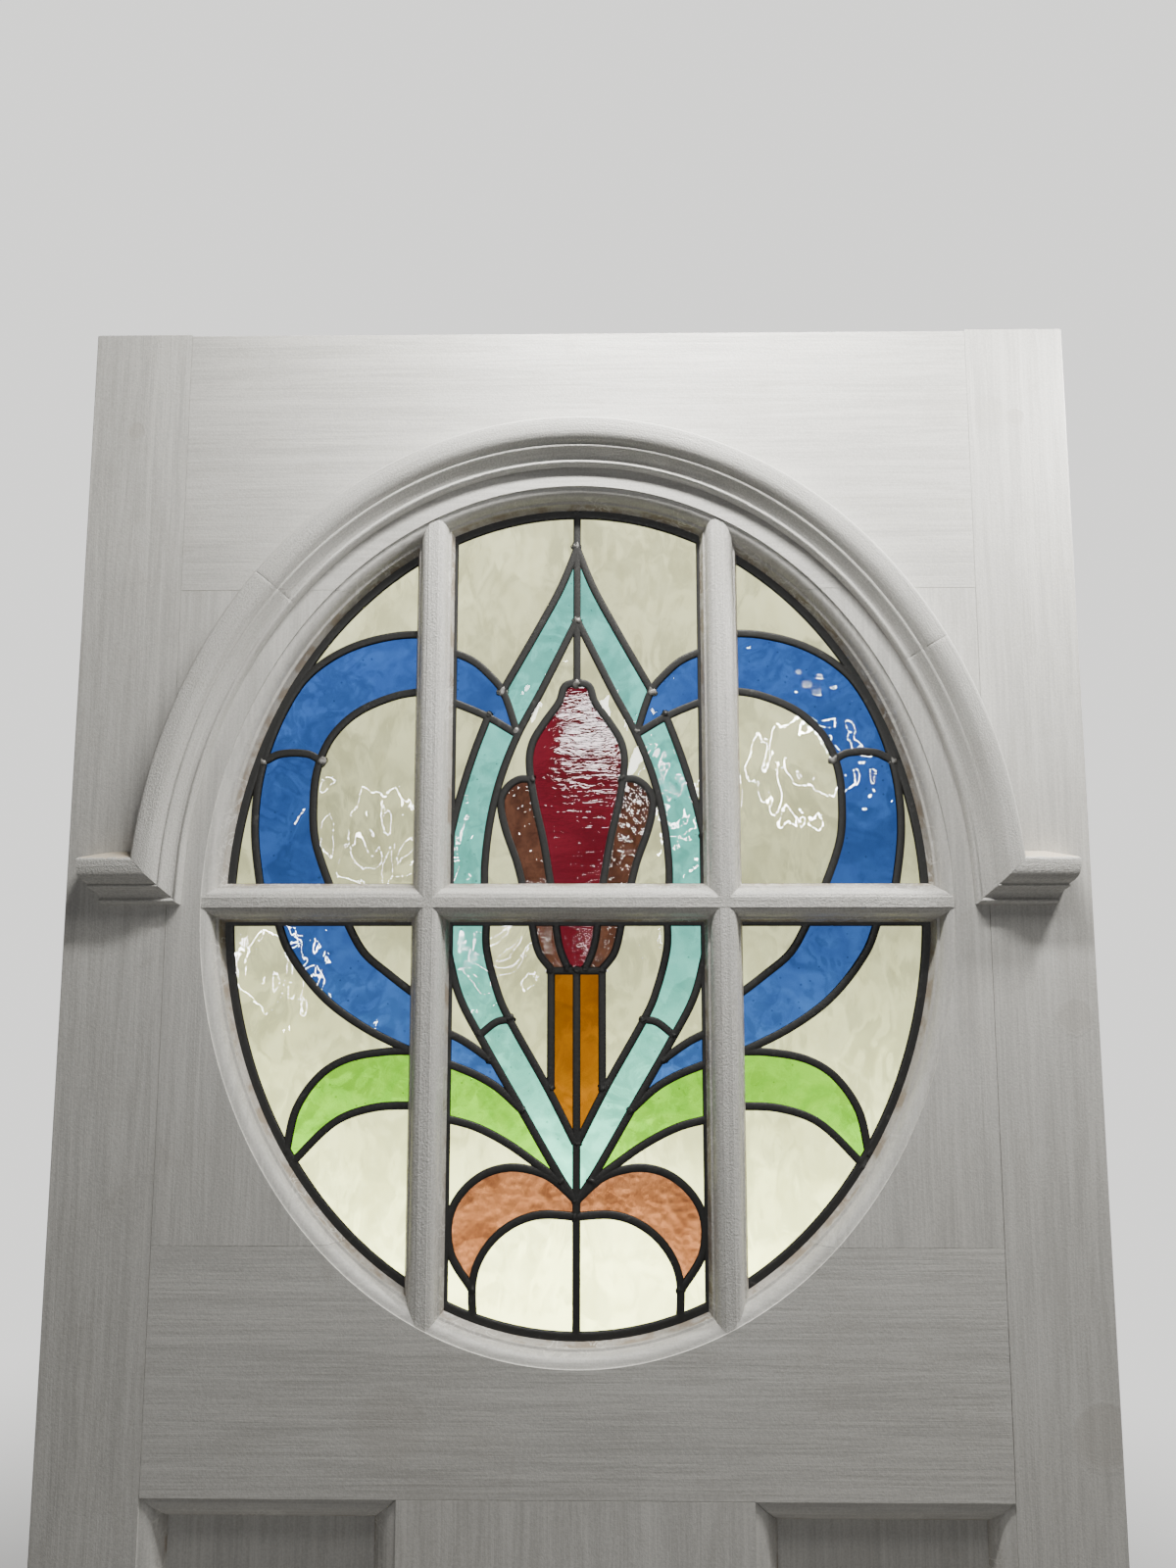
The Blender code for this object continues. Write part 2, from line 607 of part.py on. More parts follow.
def add_light(name, column, row, leads, glass, parts, cutters, materials):
    """One leaded light: lead with its clear glass as one node, each coloured glass as its own."""
    tongue_edge = TONGUE_HALF + GAP
    sight = STICKING_WIDTH + BORDER_SIGHT
    bar_sight = BAR_WIDTH / 2 + (0.0 if column else BAR_SIGHT)
    level_sight = BAR_WIDTH / 2 + (BORDER_SIGHT - LEVEL_SIGHT if row < 0 else GAP)
    front, back = LEAD_FRONT - OVERSHOOT, LEAD_BACK + OVERSHOOT

    plate = light_bmesh(column, row, sight, bar_sight, level_sight, front, back)
    hole_plate = as_cutter(mesh_object(f"{name} holes", plate, cutters))
    holes = cut_glass(name, hole_plate, leads, 0.0, front, back, cutters)
    fit = light_bmesh(column, row, sight + GAP, bar_sight + GAP, level_sight + GAP, GLASS_FRONT, GLASS_BACK)
    glass_plate = as_cutter(mesh_object(f"{name} glass", fit, cutters))
    panes = cut_glass(f"{name} fitted", glass_plate, leads, 2 * GAP, GLASS_FRONT, GLASS_BACK, cutters)

    seeds = list(glass_seeds(name, glass))
    holes.normal_update()
    panes.normal_update()
    holes.faces.index_update()
    panes.faces.index_update()
    coloured, clear = [], []
    for group in islands(holes):
        indices = [face.index for face in group]
        hit = any(holds_point(group, x, z) for _, x, z, _ in seeds)
        (coloured if hit else clear).append(indices)
    through = only_faces(holes, sum(coloured, []))
    front_pocket = squeeze(only_faces(holes, sum(clear, [])), front, GLASS_FRONT)
    back_pocket = squeeze(only_faces(holes, sum(clear, [])), GLASS_BACK, back)

    blank = light_bmesh(column, row, REBATE_OFFSET + GAP, tongue_edge, tongue_edge, LEAD_FRONT, LEAD_BACK)
    net = mesh_object(f"{name}_leads", blank, parts, materials["lead"])
    recesses = {"through": through, "front pockets": front_pocket, "back pockets": back_pocket}
    for label, cutter in recesses.items():
        cut(net, as_cutter(mesh_object(f"{name} {label}", cutter, cutters)))

    for group in islands(panes):
        for piece, x, z, colour in seeds:
            if holds_point(group, x, z):
                indices = [face.index for face in group]
                mesh_object(piece, only_faces(panes, indices), parts, materials[colour])
    holes.free()
    panes.free()

    bead_plate = light_bmesh(column, row, REBATE_OFFSET + GAP, tongue_edge, tongue_edge,
                             BEAD_FRONT, BEAD_FRONT + BEAD_THICKNESS)
    bead = mesh_object(f"{name}_bead", bead_plate, parts, materials["timber"])
    hole = light_bmesh(column, row, STICKING_WIDTH, BAR_WIDTH / 2, BAR_WIDTH / 2,
                       BEAD_FRONT - OVERSHOOT, BEAD_FRONT + BEAD_THICKNESS + OVERSHOOT)
    cut(bead, as_cutter(mesh_object(f"{name} bead hole", hole, cutters)))


def clear_scene():
    for obj in list(bpy.data.objects):
        bpy.data.objects.remove(obj)


def main():
    clear_scene()
    parts = bpy.data.collections.new("Stained glass door")
    cutters = bpy.data.collections.new("Cutters")
    for collection in (parts, cutters):
        bpy.context.scene.collection.children.link(collection)
    materials = {name: new_material(name, colour) for name, colour in COLOURS.items()}
    add_frame(parts, cutters, materials["timber"])
    add_bars(parts, cutters, materials["timber"])
    add_hood(parts, materials["hood"])
    for side, column in (("left", -1), ("right", 1)):
        add_light(f"upper_{side}", column, 1, UPPER_SIDE_LEADS, UPPER_SIDE_GLASS, parts, cutters, materials)
        add_light(f"lower_{side}", column, -1, LOWER_SIDE_LEADS, LOWER_SIDE_GLASS, parts, cutters, materials)
    add_light("upper_middle", 0, 1, UPPER_MIDDLE_LEADS, UPPER_MIDDLE_GLASS, parts, cutters, materials)
    add_light("lower_middle", 0, -1, LOWER_MIDDLE_LEADS, LOWER_MIDDLE_GLASS, parts, cutters, materials)


main()
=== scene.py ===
"""Looks of the stained glass front door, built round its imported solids.

Metres, +Z up. The door's outside face looks towards -Y. The origin is the middle of the hinge edge.
"""
from __future__ import annotations

import logging
import math
from dataclasses import dataclass
from enum import Enum
from typing import Iterable, Sequence

import bmesh
import bpy
from mathutils import Matrix, Vector, noise
from mathutils.bvhtree import BVHTree

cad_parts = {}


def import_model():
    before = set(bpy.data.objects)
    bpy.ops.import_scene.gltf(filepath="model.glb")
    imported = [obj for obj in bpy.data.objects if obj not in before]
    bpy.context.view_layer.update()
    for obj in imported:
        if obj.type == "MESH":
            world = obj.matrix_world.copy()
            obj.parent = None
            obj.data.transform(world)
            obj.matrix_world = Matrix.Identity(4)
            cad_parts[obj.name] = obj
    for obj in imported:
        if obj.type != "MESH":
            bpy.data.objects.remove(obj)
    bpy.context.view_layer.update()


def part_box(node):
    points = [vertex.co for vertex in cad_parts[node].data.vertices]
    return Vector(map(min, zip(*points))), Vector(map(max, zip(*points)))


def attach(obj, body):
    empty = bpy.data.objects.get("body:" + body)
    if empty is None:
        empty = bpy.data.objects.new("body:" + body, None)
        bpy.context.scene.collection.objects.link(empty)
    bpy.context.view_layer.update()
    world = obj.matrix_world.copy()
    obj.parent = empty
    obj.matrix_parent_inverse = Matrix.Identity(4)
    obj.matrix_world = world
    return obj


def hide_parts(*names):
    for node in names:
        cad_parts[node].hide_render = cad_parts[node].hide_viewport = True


LOG = logging.getLogger("front door")
MM = 0.001
BODY = "root"
NOISE_SEED = 1  # without one, the noise vectors that warp the glass change from run to run
Point = tuple[float, float]
Points = Sequence[Point]
Colour = tuple[float, float, float]

# Sizes of the door, its mouldings and its leadwork
GAP = 0.3 * MM  # between pieces that touch
LIP = 20.0 * MM  # the moulded edge round a sunk panel
OVAL_HALF_WIDTH = 335.5 * MM
OVAL_HALF_HEIGHT = 390.0 * MM
OVAL_DROP = 541.0 * MM  # from the door's top edge to the oval's centre
STICKING_WIDTH = 16.0 * MM
STICKING_DEPTH = 22.0 * MM
REBATE = 10.0 * MM
BAR_WIDTH = 34.5 * MM
BAR_FILLET = 9.0 * MM
BAR_OFFSET = 132.5 * MM
BAR_RISE = 4.0 * MM
HOOD_FOOT = 2.0 * MM
HOOD_CLEARANCE = 17.5 * MM
HOOD_NOSE = 57.8 * MM  # from the oval's edge to the outer edge of the hood's nose
EAR_REACH = 416.5 * MM
PANEL_SINK = 16.0 * MM
PANEL_THICKNESS = 12.0 * MM
PANEL_TONGUE = 8.0 * MM
LEAD_THICKNESS = 5.5 * MM
LEAD_WIDTH = 7.0 * MM
HEART_WIDTH = 1.6 * MM
BORDER_SIGHT = 7.2 * MM
BAR_SIGHT = 3.0 * MM
LEVEL_SIGHT = 3.7 * MM
BEAD_THICKNESS = 12.0 * MM
HEART_REACH = 3.3 * MM  # how far a heart runs on under the leaf of the came that it meets
GRIP = 2.5 * MM  # how far the glass reaches under the leaf of a came
GLASS_THICKNESS = 2.6 * MM
OVERSHOOT = 1.0 * MM  # how far a cutter passes the faces that it cuts
OVAL_SIDES = 256
BORDER_LEAF = 20.0 * MM  # how far a border came runs on under the timber

TONGUE_HALF = BAR_WIDTH / 2 - REBATE
REBATE_OFFSET = STICKING_WIDTH - REBATE

# How far the patterns shift from piece to piece, and the number of the first piece of a kind
BOARD_SHIFT = 1.37
HOOD_SHIFT = 0.71
PANE_SHIFT = 3.17
LIGHT_SHIFT = 11.0
BACK_SHIFT = 9.0
FIRST_PANEL = 12
FIRST_BAR = 21
FIRST_BEAD = 31


class Grain(Enum):
    """Which way the brush and the wood run."""

    LEVEL = "level"
    UPRIGHT = "upright"
    ROUND = "round"


class Column(Enum):
    """Place of a light across the oval."""

    LEFT = -1
    MIDDLE = 0
    RIGHT = 1


class Row(Enum):
    """Place of a light above or below the level bar."""

    LOWER = -1
    UPPER = 1


class Figure(Enum):
    """Surface of a sheet of glass."""

    WAVY = "wavy"
    SEEDY = "seedy"
    HAMMERED = "hammered"
    STREAKY = "streaky"
    SMOOTH = "smooth"


class Socket(Enum):
    """Kind of a node group's input or output."""

    VALUE = "NodeSocketFloat"
    VECTOR = "NodeSocketVector"
    COLOUR = "NodeSocketColor"


class Cut(Enum):
    """What a Boolean leaves."""

    AWAY = "DIFFERENCE"
    COMMON = "INTERSECT"
    JOINED = "UNION"


@dataclass(frozen=True)
class Oval:
    """The window's ellipse in the door's plane."""

    centre_x: float
    centre_z: float
    half_width: float = OVAL_HALF_WIDTH
    half_height: float = OVAL_HALF_HEIGHT

    def inward(self, turn: float) -> Vector:
        """Unit vector towards the inside at an angle, as X and Z."""
        return -Vector((math.cos(turn) / self.half_width, math.sin(turn) / self.half_height)).normalized()

    def point(self, turn: float, inset: float) -> Vector:
        """X and Z of a point on the curve that runs parallel to the oval.

        Args:
            turn: angle round the oval, in radians.
            inset: distance inside the oval's edge, or outside where it is negative.
        Returns:
            The point in the door's plane.
        """
        edge = Vector((self.half_width * math.cos(turn), self.half_height * math.sin(turn)))
        return Vector((self.centre_x, self.centre_z)) + edge + self.inward(turn) * inset

    def ring(self, inset: float, y: float, sides: int) -> list[Vector]:
        """Points round the oval at one depth."""
        spots = (self.point(math.tau * side / sides, inset) for side in range(sides))
        return [Vector((spot.x, y, spot.y)) for spot in spots]


@dataclass(frozen=True)
class DoorPlan:
    """Where the door's members lie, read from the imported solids."""

    width: float
    foot: float
    top: float
    horn_top: float
    front: float
    back: float
    stile: float
    cheek_top: float
    cheek_foot: float
    panel_foot: float
    panel_top: float
    muntin_left: float
    muntin_right: float
    oval: Oval

    @classmethod
    def from_frame(cls) -> DoorPlan:
        """Reads the members' boxes.

        Returns:
            The plan.
        """
        stile_low, stile_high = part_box("hinge_stile")
        rail_low, rail_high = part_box("top_rail")
        cheek_low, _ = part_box("left_cheek")
        muntin_low, muntin_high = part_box("centre_muntin")
        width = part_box("lock_stile")[1].x
        oval = Oval(width / 2, rail_high.z - OVAL_DROP)
        return cls(width=width, foot=stile_low.z, top=rail_high.z, horn_top=stile_high.z, front=stile_low.y,
                   back=stile_high.y, stile=rail_low.x - GAP, cheek_top=rail_low.z, cheek_foot=cheek_low.z,
                   panel_foot=muntin_low.z - GAP, panel_top=muntin_high.z + GAP,
                   muntin_left=muntin_low.x + LIP, muntin_right=muntin_high.x - LIP, oval=oval)

    @property
    def level_bar_z(self) -> float:
        """Middle of the level glazing bar."""
        return self.oval.centre_z + BAR_RISE

    @property
    def ear_top(self) -> float:
        """Height of the upper edge of the ears' noses."""
        return self.oval.centre_z + HOOD_FOOT - HOOD_CLEARANCE + HOOD_NOSE

    @property
    def lead_front(self) -> float:
        """Y of the front of the cames."""
        return self.front + STICKING_DEPTH + GAP

    @property
    def lead_back(self) -> float:
        """Y of the back of the cames."""
        return self.lead_front + LEAD_THICKNESS


def smooth_run(points: Points, step: float) -> list[Vector]:
    """Even points on a smooth curve through a few chosen ones.

    Args:
        points: the chosen points, in any unit.
        step: distance between the points that come back, in the same unit.
    Returns:
        Points on the curve, the two ends included.
    """
    spots = [Vector(point) for point in points]
    if len(spots) == 2:
        pieces = max(2, round((spots[1] - spots[0]).length / step))
        return [spots[0].lerp(spots[1], part / pieces) for part in range(pieces + 1)]
    guides = [2 * spots[0] - spots[1], *spots, 2 * spots[-1] - spots[-2]]
    run = []
    for before, start, end, after in zip(guides, guides[1:], guides[2:], guides[3:]):
        chord = (end - start).length
        near = (end - before) * chord / max((start - before).length + chord, 1e-9)
        far = (after - start) * chord / max((after - end).length + chord, 1e-9)
        pieces = max(1, round(chord / step))
        for part in range(pieces):
            t = part / pieces
            run.append(start * (2 * t**3 - 3 * t**2 + 1) + near * (t**3 - 2 * t**2 + t)
                       + end * (3 * t**2 - 2 * t**3) + far * (t**3 - t**2))
    return run + [spots[-1]]


def lengthened(run: Sequence[Vector], reach: float) -> list[Vector]:
    """The same run with both ends carried on straight for a short way.

    Args:
        run: the points.
        reach: how far each end is carried on.
    Returns:
        The run with one more point at each end.
    """
    start = run[0] + (run[0] - run[1]).normalized() * reach
    end = run[-1] + (run[-1] - run[-2]).normalized() * reach
    return [start, *run, end]


def eased(points: Points, radius: float) -> list[Vector]:
    """Section with its corners rounded a little, as paint rounds them.

    Args:
        points: the section, corner by corner.
        radius: how far from a corner the rounding starts.
    Returns:
        The section with three points in place of each corner between its ends.
    """
    spots = [Vector(point) for point in points]
    section = [spots[0]]
    for before, corner, after in zip(spots, spots[1:], spots[2:]):
        into, out = corner - before, after - corner
        if into.angle(out) < math.radians(14):
            section.append(corner)
            continue
        reach_in = min(radius, into.length * 0.45)
        reach_out = min(radius, out.length * 0.45)
        start = corner - into.normalized() * reach_in
        end = corner + out.normalized() * reach_out
        section += [start, (start + 2 * corner + end) / 4, end]
    return section + [spots[-1]]


class Section:
    """Moulded sections, as distance across and depth, in metres."""

    QUIRK = 2.0
    PAINT_RADIUS = 0.4

    @classmethod
    def painted(cls, *runs: Sequence[Vector]) -> list[Vector]:
        """Runs of points in mm as one section in metres, its corners rounded by paint."""
        whole = [spot for run in runs for spot in run]
        return [point * MM for point in eased(whole, cls.PAINT_RADIUS)]

    @classmethod
    def sticking(cls) -> list[Vector]:
        """Edge of the oval and of the bars: quirk, ovolo, fillet and cove.

        Returns:
            Distance across and depth.
        """
        ovolo = smooth_run(((0.0, cls.QUIRK), (4.6, 3.2), (8.3, 6.6), (10.6, 12.1)), 1.2)
        cove = smooth_run(((12.9, 12.7), (13.6, 15.6), (14.6, 18.8), (16.0, 22.0)), 2.0)
        return cls.painted([Vector((0.0, 0.0))], ovolo, cove)

    @classmethod
    def panel_edge(cls) -> list[Vector]:
        """Moulded edge round a sunk panel: quirk, flat ovolo and bead.

        Returns:
            Distance across and depth.
        """
        ovolo = smooth_run(((0.0, cls.QUIRK), (5.0, 2.9), (10.0, 5.2), (14.4, 9.4)), 1.2)
        bead = smooth_run(((15.2, 9.8), (16.6, 11.4), (18.4, 13.6), (20.0, 16.0)), 1.2)
        return cls.painted([Vector((0.0, 0.0))], ovolo, bead)

    @classmethod
    def hood(cls) -> list[Vector]:
        """Hood mould, from its inner foot to its outer one: distance outside the oval, projection.

        Returns:
            Distance outside the oval's edge and projection from the face.
        """
        foot = [Vector((17.5, 0.3)), Vector((18.2, 6.0))]
        bead = smooth_run(((18.9, 7.2), (20.4, 8.2), (22.0, 7.6)), 0.7)
        ovolo = smooth_run(((22.8, 6.8), (25.4, 7.8), (28.6, 10.6), (31.2, 13.6), (32.7, 15.3),
                            (34.0, 15.5)), 0.9)
        nose = smooth_run(((34.8, 14.6), (36.6, 16.8), (39.2, 19.4), (43.0, 21.6), (47.6, 22.6),
                           (53.0, 23.0), (56.8, 22.8), (58.3, 21.2)), 1.2)
        return cls.painted(foot, bead, ovolo, nose, [Vector((64.5, 0.3))])

    @staticmethod
    def came(width: float) -> list[Vector]:
        """H section of a lead came with rounded leaves: across, and depth from its front.

        Args:
            width: across both leaves.
        Returns:
            The closed section.
        """
        half, heart, back = width / 2, HEART_WIDTH / 2, LEAD_THICKNESS
        leaf = [(0.0, 0.0), (0.28, 0.02 * MM), (0.55, 0.12 * MM), (0.80, 0.34 * MM), (0.95, 0.62 * MM)]
        right = [(half * share, deep) for share, deep in leaf] + [(half, 0.98 * MM), (heart, 1.0 * MM)]
        right += [(across, back - deep) for across, deep in reversed(right[1:])] + [(0.0, back)]
        left = [(-across, deep) for across, deep in reversed(right[1:-1])]
        return [Vector(point) for point in right + left]

    @staticmethod
    def border_came(width: float) -> list[Vector]:
        """C section of a border came: across towards the glass from its sight line, depth.

        Args:
            width: across its leaves.
        Returns:
            The closed section.
        """
        back = LEAD_THICKNESS
        lip = [(-width, 0.0), (-3.2 * MM, 0.0), (-1.8 * MM, 0.05 * MM), (-0.7 * MM, 0.2 * MM),
               (-0.15 * MM, 0.5 * MM), (0.0, 0.98 * MM), (-3.0 * MM, 1.0 * MM)]
        return [Vector(point) for point in lip + [(across, back - deep) for across, deep in reversed(lip)]]


def of_kind(geometry: Iterable[object], kind: type) -> list:
    """The items of some bmesh geometry that are of one kind."""
    return [item for item in geometry if isinstance(item, kind)]


def skin(rings: Sequence[Sequence[Vector]]) -> bmesh.types.BMesh:
    """Closed skin through rings of points, by extruding the first one from ring to ring.

    Args:
        rings: closed rings with the same number of points each, in order.
    Returns:
        A closed bmesh with a UV map of metres along and round the skin.
    """
    bm = bmesh.new()
    slot = bm.verts.layers.int.new("slot")
    along = bm.verts.layers.float.new("along")
    first = []
    for index, spot in enumerate(rings[0]):
        vert = bm.verts.new(spot)
        vert[slot] = index
        first.append(vert)
    edges = [bm.edges.new((start, end)) for start, end in zip(first, first[1:] + first[:1])]
    bmesh.ops.contextual_create(bm, geom=edges)
    distance = 0.0
    for before, ring in zip(rings, rings[1:]):
        distance += sum((b - a).length for a, b in zip(before, ring)) / len(ring)
        geometry = bmesh.ops.extrude_edge_only(bm, edges=edges)["geom"]
        for vert in of_kind(geometry, bmesh.types.BMVert):
            vert.co = ring[vert[slot]]
            vert[along] = distance
        edges = [edge for edge in of_kind(geometry, bmesh.types.BMEdge) if edge.is_boundary]
    bmesh.ops.contextual_create(bm, geom=edges)
    girths = [0.0]
    for start, end in zip(rings[0], rings[0][1:]):
        girths.append(girths[-1] + (end - start).length)
    uv = bm.loops.layers.uv.new("run")
    for face in bm.faces:
        for loop in face.loops:
            loop[uv].uv = (loop.vert[along], girths[loop.vert[slot]])
    bmesh.ops.recalc_face_normals(bm, faces=bm.faces)
    return bm


def prism(outline: Sequence[Vector], front: float, back: float) -> bmesh.types.BMesh:
    """Flat outline in X and Z, extruded from one Y to another."""
    return skin([[Vector((spot.x, y, spot.y)) for spot in outline] for y in (front, back)])


def swept(section: Sequence[Vector], run: Sequence[Vector], front: float,
          side: float = 1.0) -> bmesh.types.BMesh:
    """Section carried along a run in the door's plane, square to it.

    Args:
        section: across and depth of the section's points.
        run: X and Z of the stations.
        front: Y of depth zero.
        side: 1 if across points to the left of the run, -1 if to its right.
    Returns:
        The closed skin.
    """
    rings = []
    for index, spot in enumerate(run):
        ahead = run[min(index + 1, len(run) - 1)] - run[max(index - 1, 0)]
        across = Vector((-ahead.y, ahead.x)).normalized() * side
        rings.append([Vector((spot.x + across.x * point.x, front + point.y, spot.y + across.y * point.x))
                      for point in section])
    return skin(rings)


def as_object(name: str, bm: bmesh.types.BMesh,
              materials: Iterable[bpy.types.Material] = ()) -> bpy.types.Object:
    """Object for a bmesh, which is freed.

    Args:
        name: the object's name.
        bm: its mesh.
        materials: its finishes, in order.
    Returns:
        The linked object.
    """
    mesh = bpy.data.meshes.new(name)
    for material in materials:
        mesh.materials.append(material)
    bm.to_mesh(mesh)
    bm.free()
    obj = bpy.data.objects.new(name, mesh)
    bpy.context.scene.collection.objects.link(obj)
    return obj


def carve(obj: bpy.types.Object, tools: Sequence[bpy.types.Object], cut: Cut, keep: bool = False) -> None:
    """Applies Booleans to an object at once.

    Args:
        obj: the object that changes.
        tools: what it is cut by, or joined with, one after the other.
        cut: what is left.
        keep: whether the tools stay for another cut.
    """
    for tool in tools:
        modifier = obj.modifiers.new(cut.value, "BOOLEAN")
        modifier.operation = cut.value
        modifier.solver = "MANIFOLD"
        modifier.object = tool
    depsgraph = bpy.context.evaluated_depsgraph_get()
    depsgraph.update()
    mesh = bpy.data.meshes.new_from_object(obj.evaluated_get(depsgraph))
    obj.modifiers.clear()
    spare = obj.data
    obj.data = mesh
    mesh.name = obj.name
    bpy.data.meshes.remove(spare)
    if not keep:
        for tool in tools:
            remove(tool)


def remove(obj: bpy.types.Object) -> None:
    """Deletes an object and its mesh.

    Args:
        obj: the object.
    """
    mesh = obj.data
    bpy.data.objects.remove(obj)
    bpy.data.meshes.remove(mesh)


def shade(obj: bpy.types.Object, angle: float = 32.0) -> None:
    """Smooth shading with sharp edges above an angle in degrees."""
    obj.data.shade_smooth()
    obj.data.set_sharp_from_angle(angle=math.radians(angle))


def shade_timber(obj: bpy.types.Object, angle: float = 32.0) -> None:
    """Smooth shading in which broad flat faces stay flat beside their thin eased edges."""
    shade(obj, angle)
    obj.modifiers.new("Broad faces lead", "WEIGHTED_NORMAL").keep_sharp = True


def mark(obj: bpy.types.Object, name: str, value: float) -> None:
    """Gives every point of a mesh one value, which shifts its pattern in the materials."""
    layer = obj.data.attributes.new(name, "FLOAT", "POINT")
    layer.data.foreach_set("value", [value] * len(obj.data.vertices))


def place(obj: bpy.types.Object, slot: str, *nodes: str) -> None:
    """Rides a finished piece on the door and hides the nodes that it stands for.

    Args:
        obj: the piece.
        slot: the material slot; not used.
        nodes: the nodes that it replaces.
    """
    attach(obj, BODY)
    if nodes:
        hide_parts(*nodes)
    LOG.info("%s: %d faces", obj.name, len(obj.data.polygons))


class Shading:
    """Adds and joins shader nodes in one node tree."""

    def __init__(self, tree: bpy.types.NodeTree) -> None:
        """Starts on an empty tree."""
        self.tree = tree
        self.count = 0

    def add(self, kind: str, **settings: object) -> bpy.types.Node:
        """New node with some of its properties set.

        Args:
            kind: the node's type.
            settings: its properties.
        Returns:
            The node.
        """
        node = self.tree.nodes.new(kind)
        node.location = (220 * (self.count % 12), -260 * (self.count // 12))
        self.count += 1
        for key, value in settings.items():
            setattr(node, key, value)
        return node

    def put(self, socket: bpy.types.NodeSocket, value: object) -> None:
        """Links a socket, or sets it to a plain value.

        Args:
            socket: the input.
            value: an output, or a plain value.
        """
        if isinstance(value, bpy.types.NodeSocket):
            self.tree.links.new(value, socket)
        else:
            socket.default_value = value

    def fill(self, node: bpy.types.Node, values: dict[str, object]) -> None:
        """Fills a node's inputs by their names."""
        for name, value in values.items():
            self.put(node.inputs[name], value)

    def here(self) -> bpy.types.NodeSocket:
        """Object coordinates."""
        return self.add("ShaderNodeTexCoord").outputs["Object"]

    def grey(self, value: object) -> bpy.types.NodeSocket:
        """Colour with a value in all its channels.

        Args:
            value: the value.
        Returns:
            The colour's socket.
        """
        node = self.add("ShaderNodeCombineColor")
        for socket in node.inputs:
            self.put(socket, value)
        return node.outputs[0]

    def over(self, under: object, colour: Colour, mask: object, share: object) -> bpy.types.NodeSocket:
        """Colour laid over another as thickly as a mask and a share say."""
        return self.mix(self.math("MULTIPLY", mask, share), under, (*colour, 1.0))

    def math(self, operation: str, *values: object, clamp: bool = False) -> bpy.types.NodeSocket:
        """Result of a Math node.

        Args:
            operation: what it works out.
            values: its inputs.
            clamp: whether the result stays from 0 to 1.
        Returns:
            The result's socket.
        """
        node = self.add("ShaderNodeMath", operation=operation, use_clamp=clamp)
        for socket, value in zip(node.inputs, values):
            self.put(socket, value)
        return node.outputs[0]

    def mix(self, factor: object, first: object, second: object, blend: str = "MIX") -> bpy.types.NodeSocket:
        """Mix of two colours.

        Args:
            factor: share of the second colour.
            first: the first colour.
            second: the second colour.
            blend: the way they mix.
        Returns:
            The result's socket.
        """
        node = self.add("ShaderNodeMix", data_type="RGBA", blend_type=blend)
        self.put(node.inputs[0], factor)
        self.put(node.inputs[6], first)
        self.put(node.inputs[7], second)
        return node.outputs[2]

    def stretch(self, vector: object, scale: tuple[float, float, float]) -> bpy.types.NodeSocket:
        """Vector with each axis scaled.

        Args:
            vector: the vector.
            scale: the scale of each axis.
        Returns:
            The result's socket.
        """
        node = self.add("ShaderNodeVectorMath", operation="MULTIPLY")
        self.put(node.inputs[0], vector)
        node.inputs[1].default_value = scale
        return node.outputs[0]

    def cloud(self, vector: object, scale: object, detail: float = 3.0, rough: float = 0.5,
              warp: float = 0.0) -> bpy.types.NodeSocket:
        """Value of a Noise Texture.

        Args:
            vector: where it is read.
            scale: its scale.
            detail: its octaves.
            rough: how strong the fine ones are.
            warp: its distortion.
        Returns:
            The value's socket.
        """
        node = self.add("ShaderNodeTexNoise")
        self.fill(node, {"Vector": vector, "Scale": scale, "Detail": detail, "Roughness": rough,
                         "Distortion": warp})
        return node.outputs["Fac"]

    def step(self, value: object, low: object, high: object, start: float = 0.0,
             end: float = 1.0) -> bpy.types.NodeSocket:
        """Smooth step of a value between two limits, to a new range.

        Args:
            value: the value.
            low: the limit where the step begins.
            high: the limit where it ends.
            start: the result at the low limit.
            end: the result at the high limit.
        Returns:
            The result's socket.
        """
        node = self.add("ShaderNodeMapRange", interpolation_type="SMOOTHSTEP")
        self.fill(node, {"Value": value, "From Min": low, "From Max": high, "To Min": start, "To Max": end})
        return node.outputs["Result"]

    def bump(self, height: object, distance: float, strength: float = 1.0) -> bpy.types.NodeSocket:
        """Normal of a Bump node.

        Args:
            height: the relief.
            distance: its depth in metres.
            strength: its strength.
        Returns:
            The normal's socket.
        """
        node = self.add("ShaderNodeBump")
        self.fill(node, {"Distance": distance, "Strength": strength, "Height": height})
        return node.outputs["Normal"]

    def group(self, name: str, **values: object) -> bpy.types.Node:
        """Places a shared node group and fills its inputs.

        Args:
            name: the group's name.
            values: its inputs, with _ for a space.
        Returns:
            The group's node.
        """
        node = self.add("ShaderNodeGroup", node_tree=bpy.data.node_groups[name])
        for key, value in values.items():
            self.put(node.inputs[key.replace("_", " ").capitalize()], value)
        return node

    def position(self, grain: Grain) -> bpy.types.NodeSocket:
        """Coordinates that run along the grain, across it, and into the wood, shifted for each board.

        Args:
            grain: which way the grain runs.
        Returns:
            The coordinates' socket.
        """
        if grain is Grain.ROUND:
            run = self.add("ShaderNodeUVMap", uv_map="run").outputs["UV"]
        else:
            parts = self.add("ShaderNodeSeparateXYZ")
            self.put(parts.inputs[0], self.here())
            order = (0, 2, 1) if grain is Grain.LEVEL else (2, 0, 1)
            joined = self.add("ShaderNodeCombineXYZ")
            for socket, axis in zip(joined.inputs, order):
                self.put(socket, parts.outputs[axis])
            run = joined.outputs[0]
        shift = self.add("ShaderNodeAttribute", attribute_name="board")
        node = self.add("ShaderNodeVectorMath", operation="ADD")
        self.put(node.inputs[0], run)
        self.put(node.inputs[1], shift.outputs["Vector"])
        return node.outputs[0]


